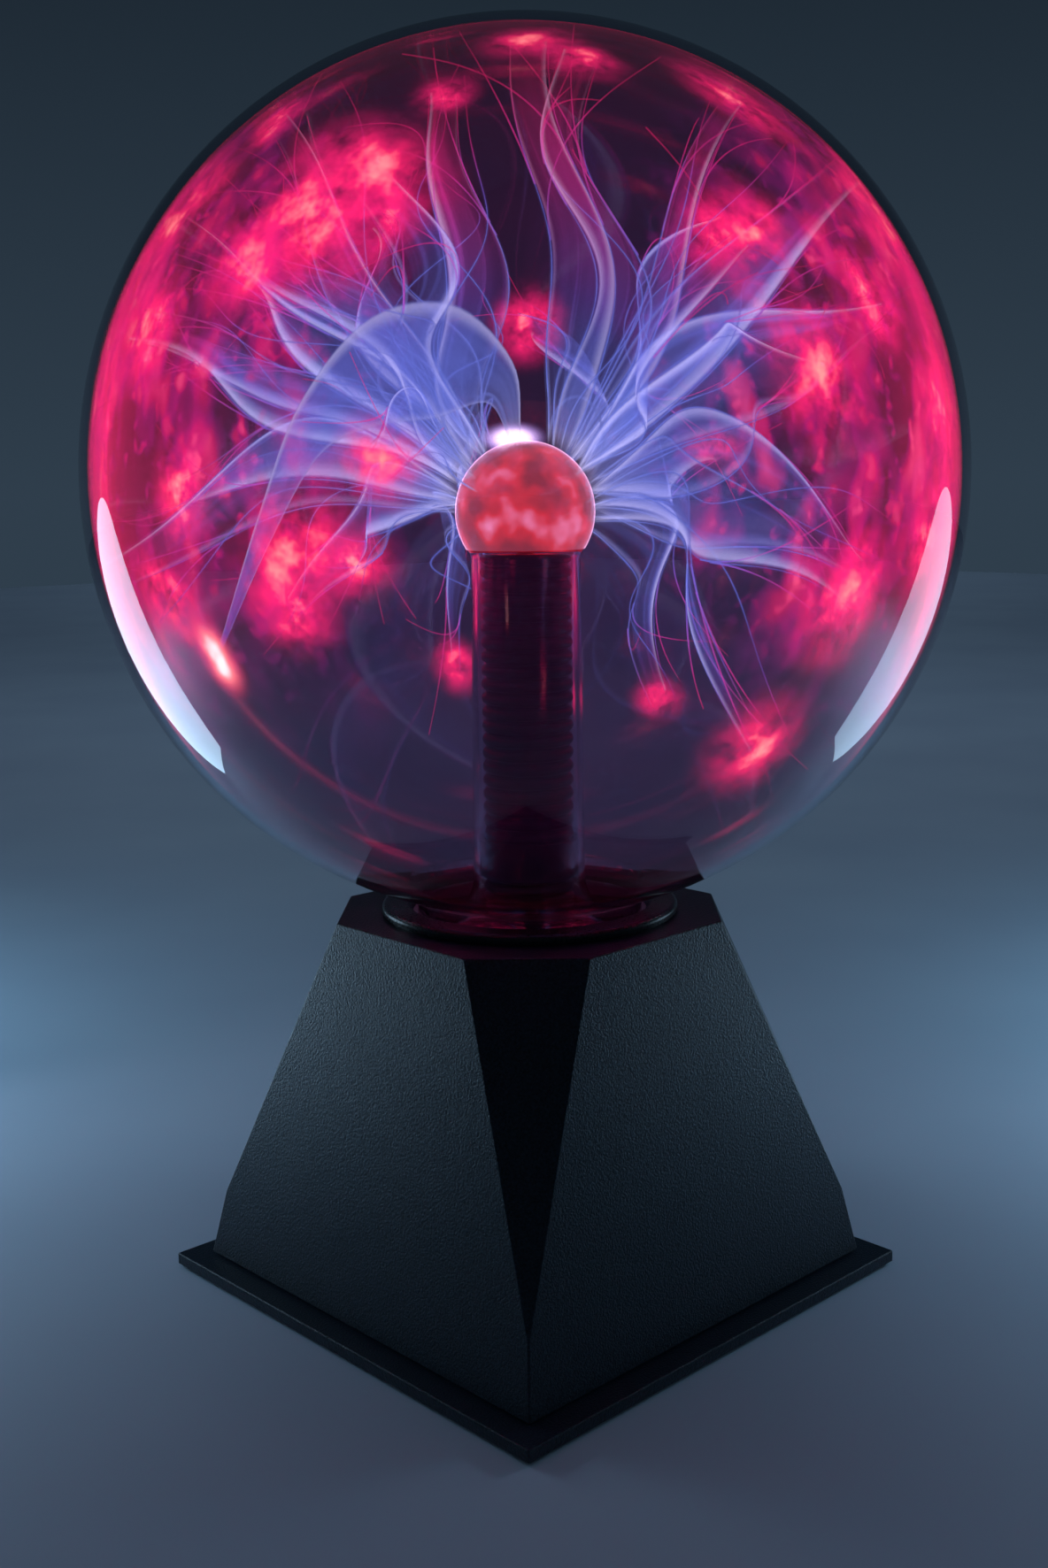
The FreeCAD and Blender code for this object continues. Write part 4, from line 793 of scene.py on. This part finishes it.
# %% [markdown]
# Hands on the globe draw the gas to its sides, so the glass there is covered in a web of pink. It is one ball
# just inside the glass whose material is clear almost everywhere: soft noise makes the web, small noise
# makes sparks in it, and a mask keeps both to the two sides and off the bottom.

# %% Wall web
def side_mask(tree, low, high):
    """1 at the two sides of the globe, 0 at its front and back."""
    lean = node(tree, "ShaderNodeVectorMath", n0=place(tree), n1=tuple(SIDE_AXIS))
    lean.operation = "DOT_PRODUCT"
    aside = math_node(tree, "ABSOLUTE", lean.outputs["Value"])
    return stretch(tree, aside, low * WALL_R, high * WALL_R, smooth=True)


web, tree, shader = glow("wall_web", 1.9)
where = place(tree)
upright = node(tree, "ShaderNodeMapping", Vector=where, Scale=(1.0, 1.0, 0.55))
cells = stretch(tree, noise(tree, upright.outputs[0], 62.0, 2.0, 0.55), 0.50, 0.74)
sparks = stretch(tree, noise(tree, where, 190.0, 1.0), 0.60, 0.76)
both = plus(tree, times(tree, cells, 0.75), times(tree, sparks, 0.45))
height = node(tree, "ShaderNodeSeparateXYZ", Vector=where).outputs["Z"]
off_bottom = stretch(tree, height, GLOBE_CENTRE.z - 0.62 * WALL_R, GLOBE_CENTRE.z - 0.1 * WALL_R, smooth=True)
off_top = stretch(tree, height, GLOBE_CENTRE.z + 0.95 * WALL_R, GLOBE_CENTRE.z + 0.55 * WALL_R, smooth=True)
kept = times(tree, times(tree, off_bottom, off_top), side_mask(tree, 0.20, 0.75))
pinks = (0.0, (0.45, 0.02, 0.40)), (0.35, (0.95, 0.015, 0.18)), (0.9, (1.0, 0.10, 0.22))
dense = times(tree, both, kept, clamp=True)
tree.links.new(ramp(tree, dense, *pinks), shader.inputs["Emission Color"])
tree.links.new(dense, shader.inputs["Alpha"])
bm = bmesh.new()
bmesh.ops.create_uvsphere(bm, u_segments=128, v_segments=64, radius=WALL_R - 0.8 * MM,
                          matrix=Matrix.Translation(GLOBE_CENTRE))
add_piece("wall_web", bm, web)

# %% [markdown]
# The thin gas also glows by itself: a pink skin just inside the glass, thick at the two sides, a dim violet
# fog all through the globe, and a tight white-pink skin on the electrode. Each is a volume that only emits,
# so it is brightest where the eye looks along it, at the rim. A nearly clear surface carries the same
# colour for viewers that can't show volumes.

# %% Fogs
def fog_finish(name, colour, strength, surface_share):
    """Gas that glows evenly: strength is light per metre of depth."""
    made, tree, shader = glow(name, 1.0, colour)
    mottle = noise(tree, place(tree), 40.0, 2.0)
    tree.links.new(stretch(tree, mottle, 0.3, 0.8, 0.0, surface_share), shader.inputs["Alpha"])
    body = node(tree, "ShaderNodeEmission", Color=colour, Strength=strength)
    tree.links.new(body.outputs[0], tree.nodes["Material Output"].inputs["Volume"])
    return made


def add_ball(bm, centre, radius):
    return bmesh.ops.create_uvsphere(
        bm, u_segments=96, v_segments=64, radius=radius, matrix=Matrix.Translation(centre))["verts"]


def eased(value, low, high):
    """0 below low, 1 above high, and smooth in between."""
    share = min(max((value - low) / (high - low), 0.0), 1.0)
    return share * share * (3 - 2 * share)


THIN_END, SKIN_DEPTH, SIDE_DEPTH = 0.01 * MM, 0.14 * MM, 4.0 * MM
bm = bmesh.new()
add_ball(bm, GLOBE_CENTRE, WALL_R - 0.3 * MM)
inner = add_ball(bm, GLOBE_CENTRE, WALL_R - 0.3 * MM)
for vert in inner:
    way = (vert.co - GLOBE_CENTRE).normalized()
    thick = SKIN_DEPTH + SIDE_DEPTH * eased(abs(way.dot(SIDE_AXIS)), 0.62, 1.0)
    vert.co -= way * (THIN_END + thick * eased(way.z, -0.80, -0.15))
bmesh.ops.reverse_faces(bm, faces=list({f for v in inner for f in v.link_faces}))
add_piece("wall_fog", bm, fog_finish("wall_fog", (1.0, 0.02, 0.13), 30.0, 0.006))

bm = bmesh.new()
add_ball(bm, GLOBE_CENTRE, WALL_R - 6.0 * MM)
add_piece("inner_fog", bm, fog_finish("inner_fog", (0.16, 0.03, 0.52), 0.20, 0.005))

SHEATH_INNER, SHEATH_OUTER = 0.03 * MM, 0.20 * MM
bm = bmesh.new()
add_ball(bm, BALL_CENTRE, BALL_R + SHEATH_OUTER)
inner = add_ball(bm, BALL_CENTRE, BALL_R + SHEATH_INNER)
bmesh.ops.reverse_faces(bm, faces=list({f for v in inner for f in v.link_faces}))
cut = bmesh.ops.bisect_plane(bm, geom=bm.verts[:] + bm.edges[:] + bm.faces[:], plane_co=(0, 0, core_low.z),
                             plane_no=(0, 0, -1), clear_outer=True)
bmesh.ops.bridge_loops(bm, edges=[e for e in cut["geom_cut"] if isinstance(e, bmesh.types.BMEdge)])
bmesh.ops.recalc_face_normals(bm, faces=bm.faces[:])
add_piece("electrode_fog", bm, fog_finish("electrode_fog", (1.0, 0.55, 0.76), 520.0, 0.005))

# %% [markdown]
# The electrode is a ball of conducting filling behind its own glass. It gives off no light of its own: the
# gas lights it from all sides, and that light is painted on as orange-red emission with paler pink blotches,
# which are painted highlights. The painted light comes from two layers of noise.

# %% Electrode
painted_gaslight, tree, shader = new_material("electrode_painted_gaslight")
where = place(tree)
# Painted gas light: the filling gives off no light of its own. This emission stands in for the gas light it
# reflects, and its pale pink blotches are painted highlights.
mottle_and_painted_glints = stretch(tree, noise(tree, where, 105.0, 2.0), 0.42, 0.72)
painted_gaslight_colour = ramp(tree, mottle_and_painted_glints, (0.0, (0.60, 0.002, 0.004)), (0.55, (1.0, 0.008, 0.012)), (1.0, (1.0, 0.30, 0.48)))
tree.links.new(painted_gaslight_colour, shader.inputs["Emission Color"])
tree.links.new(stretch(tree, mottle_and_painted_glints, 0.0, 1.0, 0.55, 1.35), shader.inputs["Emission Strength"])
skin = ramp(tree, mottle_and_painted_glints, (0.0, (0.10, 0.02, 0.02)), (1.0, (0.30, 0.06, 0.05)))
tree.links.new(skin, shader.inputs["Base Color"])
shader.inputs["Roughness"].default_value = 0.22
bump(tree, shader, noise(tree, where, 260.0, 3.0), 0.15 * MM)
wear("electrode_core", painted_gaslight)

CONTACT = 0.25 * MM
bm = bmesh.new()
bmesh.ops.create_uvsphere(bm, u_segments=96, v_segments=64, radius=CORE_R + CONTACT,
                          matrix=Matrix.Translation(BALL_CENTRE))
cut = bmesh.ops.bisect_plane(bm, geom=bm.verts[:] + bm.edges[:] + bm.faces[:], plane_co=(0, 0, core_low.z),
                             plane_no=(0, 0, -1), clear_outer=True)
bmesh.ops.edgeloop_fill(bm, edges=[e for e in cut["geom_cut"] if isinstance(e, bmesh.types.BMEdge)])
bmesh.ops.recalc_face_normals(bm, faces=bm.faces[:])
core = add_piece("electrode_filling", bm, painted_gaslight)
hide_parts("electrode_core")
print("electrode lit")

# %% [markdown]
# The glow also falls on the collar, the base's top and the sleeve. Three small hidden lamps inside the
# globe stand for it, so the parts near the gas pick up its red.

# %% Gas light
def gas_lamp(name, position, power, colour, size):
    lamp = bpy.data.lights.new(name, "POINT")
    lamp.energy = power
    lamp.color = colour
    lamp.shadow_soft_size = size
    stand = bpy.data.objects.new(name, lamp)
    scene.collection.objects.link(stand)
    stand.location = position
    stand.visible_camera = False
    stand.visible_glossy = False
    stand.visible_transmission = False


GAS_LAMP_REACH = 50 * MM
for azimuth in (-130, -10, 110):
    spot = GLOBE_CENTRE + heading(azimuth, 10) * GAS_LAMP_REACH
    gas_lamp("gas_light_%d" % azimuth, spot, 0.007, (1.0, 0.20, 0.50), 20 * MM)
print("gas lamps placed")

# %% [markdown]
# The base is moulded in one textured black plastic. Fine noise does two jobs at once: it raises the grain,
# and it makes some grains a little paler and duller than others, so a raking lamp shows the texture.

# %% Moulded plastic
def moulded(name, dark, light, rough, grain_scale, grain_depth, sheen_spread=0.10, shine=0.5):
    """Textured black plastic: tiny grains from the mould, each catching the light a little differently."""
    made, tree, shader = new_material(name)
    where = place(tree)
    grain = noise(tree, where, grain_scale, 2.0, 0.6)
    cloud = noise(tree, where, 30.0, 2.0)
    tree.links.new(ramp(tree, grain, (0.35, dark), (0.72, light)), shader.inputs["Base Color"])
    mixed = plus(tree, times(tree, grain, 0.6), times(tree, cloud, 0.4))
    tree.links.new(stretch(tree, mixed, 0.3, 0.7, rough - sheen_spread, rough + sheen_spread),
                   shader.inputs["Roughness"])
    shader.inputs["Specular IOR Level"].default_value = shine
    bump(tree, shader, grain, grain_depth)
    return made


shell_finish = moulded("shell_black", (0.001, 0.002, 0.004), (0.017, 0.030, 0.046), 0.38, 1900.0, 0.17 * MM)
wear("base_shell", shell_finish)
wear("bottom_cover", shell_finish)
SATIN_BLACK = (0.006, 0.008, 0.011)
collar_finish = moulded(
    "collar_black", SATIN_BLACK, (0.014, 0.018, 0.024), 0.30, 1500.0, 0.02 * MM, 0.08, 0.3)
sleeve_finish = moulded(
    "sleeve_black", SATIN_BLACK, (0.016, 0.019, 0.026), 0.34, 500.0, 0.03 * MM, 0.08, 0.25)
wear("collar_ring", collar_finish)
wear("ribbed_sleeve", sleeve_finish)
print("plastics done")

# %% [markdown]
# Rubber parts grip and seal: the feet under the cover, the gasket at the globe's neck and the bush in the
# stem. Rubber is duller than the shell, and dust settles into its surface as a grey bloom.

# %% Rubber and silicone
def rubber(name, dark, bloom, rough):
    made, tree, shader = new_material(name)
    where = place(tree)
    dust = noise(tree, where, 240.0, 4.0, 0.65)
    tree.links.new(ramp(tree, dust, (0.40, dark), (0.80, bloom)), shader.inputs["Base Color"])
    tree.links.new(stretch(tree, dust, 0.3, 0.8, rough - 0.08, rough + 0.10), shader.inputs["Roughness"])
    bump(tree, shader, noise(tree, where, 1200.0, 2.0), 0.03 * MM)
    return made


black_rubber = rubber("black_rubber", (0.010, 0.010, 0.011), (0.045, 0.044, 0.042), 0.72)
for part in ("rubber_feet", "neck_gasket", "sleeve_bush"):
    wear(part, black_rubber)
wear("hv_lead", rubber("lead_silicone", (0.30, 0.02, 0.015), (0.42, 0.06, 0.05), 0.48))
wear("power_wires", rubber("wire_red", (0.34, 0.012, 0.010), (0.46, 0.03, 0.02), 0.40))
wear("switch_wires", rubber("wire_grey", (0.16, 0.16, 0.17), (0.24, 0.24, 0.25), 0.42))
wear("neck_sealant", rubber("clear_sealant", (0.50, 0.50, 0.48), (0.66, 0.65, 0.62), 0.35))
print("rubber done")

# %% [markdown]
# Metal shows how it was made. Screws and nickel plating are bright with fine turning marks, the strap and
# the switch frame are rolled sheet, and the heat sink is anodised. One helper draws them all: fine
# scratches run along one direction, and stains make the shine uneven.

# %% Metals
def metal(name, pale, dull, rough, scratch=(60.0, 60.0, 2400.0), depth=0.01 * MM):
    made, tree, shader = new_material(name)
    where = place(tree)
    shader.inputs["Metallic"].default_value = 1.0
    stains = noise(tree, where, 150.0, 3.0)
    tree.links.new(ramp(tree, stains, (0.35, pale), (0.70, dull)), shader.inputs["Base Color"])
    drawn = node(tree, "ShaderNodeMapping", Vector=where, Scale=scratch)
    marks = noise(tree, drawn.outputs[0], 1.0, 2.0)
    uneven = plus(tree, times(tree, marks, 0.5), times(tree, stains, 0.5))
    tree.links.new(stretch(tree, uneven, 0.3, 0.7, rough - 0.08, rough + 0.12), shader.inputs["Roughness"])
    bump(tree, shader, marks, depth)
    return made


screw_steel = metal("screw_steel", (0.62, 0.61, 0.60), (0.42, 0.41, 0.40), 0.30)
for part in ("cover_screws", "board_screws", "transistor_screw", "switch_screws"):
    wear(part, screw_steel)
nickel = metal("plated_nickel", (0.72, 0.69, 0.64), (0.55, 0.52, 0.48), 0.20, (900.0, 60.0, 900.0))
for part in ("jack_pin", "jack_nut", "switch_tags"):
    wear(part, nickel)
sheet_steel = metal("spring_steel", (0.50, 0.50, 0.52), (0.36, 0.36, 0.38), 0.34, (2400.0, 60.0, 60.0))
wear("core_strap", sheet_steel)
wear("switch_frame", sheet_steel)
wear("heat_sink", metal("sink_aluminium", (0.58, 0.59, 0.61), (0.45, 0.46, 0.48), 0.38, (60.0, 60.0, 1800.0)))
wear("microphone", metal("capsule_metal", (0.66, 0.66, 0.68), (0.50, 0.50, 0.52), 0.28))
wear("electrode_pin", metal("brass", (0.62, 0.42, 0.14), (0.42, 0.27, 0.09), 0.32))
copper = metal("copper_wire", (0.78, 0.30, 0.12), (0.48, 0.15, 0.05), 0.28, (60.0, 60.0, 3000.0), 0.04 * MM)
wear("hv_winding", copper)
wear("primary_winding", copper)
print("metals done")

# %% [markdown]
# The driver's parts are plastics, ceramics and resin. Most need only their own colour, a slight mottle and
# the right dullness. The circuit board adds pale copper tracks under green lacquer, made from a stepped
# wave. The resistors are plain tan, without coloured bands.

# %% Driver parts
def cast(name, dark, light, rough, grain=300.0, depth=0.02 * MM, coat=0.0):
    made, tree, shader = new_material(name)
    where = place(tree)
    mottle = noise(tree, where, grain, 3.0)
    tree.links.new(ramp(tree, mottle, (0.30, dark), (0.75, light)), shader.inputs["Base Color"])
    tree.links.new(stretch(tree, mottle, 0.3, 0.7, rough - 0.06, rough + 0.08), shader.inputs["Roughness"])
    shader.inputs["Coat Weight"].default_value = coat
    bump(tree, shader, mottle, depth)
    return made


DRIVER_FINISHES = (
    (("ferrite_lower", "ferrite_upper"),
     cast("ferrite", (0.025, 0.025, 0.028), (0.07, 0.07, 0.075), 0.60, 900.0)),
    (("hv_former", "primary_former", "transformer_carrier"),
     cast("former_plastic", (0.05, 0.05, 0.052), (0.09, 0.09, 0.095), 0.48)),
    (("power_transistor", "driver_chip"),
     cast("component_black", (0.014, 0.014, 0.016), (0.03, 0.03, 0.032), 0.55)),
    (("filter_capacitor",),
     cast("can_blue", (0.012, 0.045, 0.19), (0.02, 0.07, 0.26), 0.28, 120.0, 0.005 * MM, 0.5)),
    (("film_capacitors",),
     cast("film_yellow", (0.50, 0.27, 0.03), (0.66, 0.38, 0.06), 0.34, 200.0, 0.02 * MM, 0.3)),
    (("resistors",), cast("resistor_tan", (0.42, 0.28, 0.16), (0.56, 0.40, 0.25), 0.42, 200.0)),
    (("switch_body",), cast("switch_phenolic", (0.055, 0.028, 0.012), (0.10, 0.05, 0.022), 0.45, 500.0)),
)
for parts, finish in DRIVER_FINISHES:
    for part in parts:
        wear(part, finish)

board, tree, shader = new_material("board_laminate")
where = place(tree)
lanes = node(tree, "ShaderNodeTexWave", Vector=where, Scale=55.0, Distortion=9.0, Detail=1.0)
track = stretch(tree, lanes.outputs["Fac"], 0.52, 0.58)
weave = noise(tree, where, 1500.0, 1.0)
greens = ramp(tree, track, (0.0, (0.010, 0.085, 0.030)), (1.0, (0.030, 0.17, 0.055)))
tree.links.new(greens, shader.inputs["Base Color"])
tree.links.new(stretch(tree, weave, 0.3, 0.7, 0.26, 0.38), shader.inputs["Roughness"])
bump(tree, shader, plus(tree, track, times(tree, weave, 0.2)), 0.03 * MM)
wear("circuit_board", board)
print("driver done")

# %% [markdown]
# The rear panel's fittings and the ring nut are glossier mouldings than the shell, so the same plastic recipe
# is used with finer grain and a tighter shine.

# %% Fittings
fitting = moulded("jack_black", (0.008, 0.008, 0.009), (0.02, 0.02, 0.022), 0.28, 900.0, 0.01 * MM, 0.06)
wear("dc_jack", fitting)
wear("collar_nut", fitting)
knob_finish = moulded("knob_black", (0.010, 0.010, 0.011), (0.03, 0.03, 0.032), 0.38, 1400.0, 0.03 * MM)
wear("switch_knob", knob_finish)

FEWEST_NODES = 4
bare = []
for part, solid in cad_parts.items():
    if any(len(held.material.node_tree.nodes) < FEWEST_NODES for held in solid.material_slots):
        bare.append(part)
print("parts still bare:", bare)
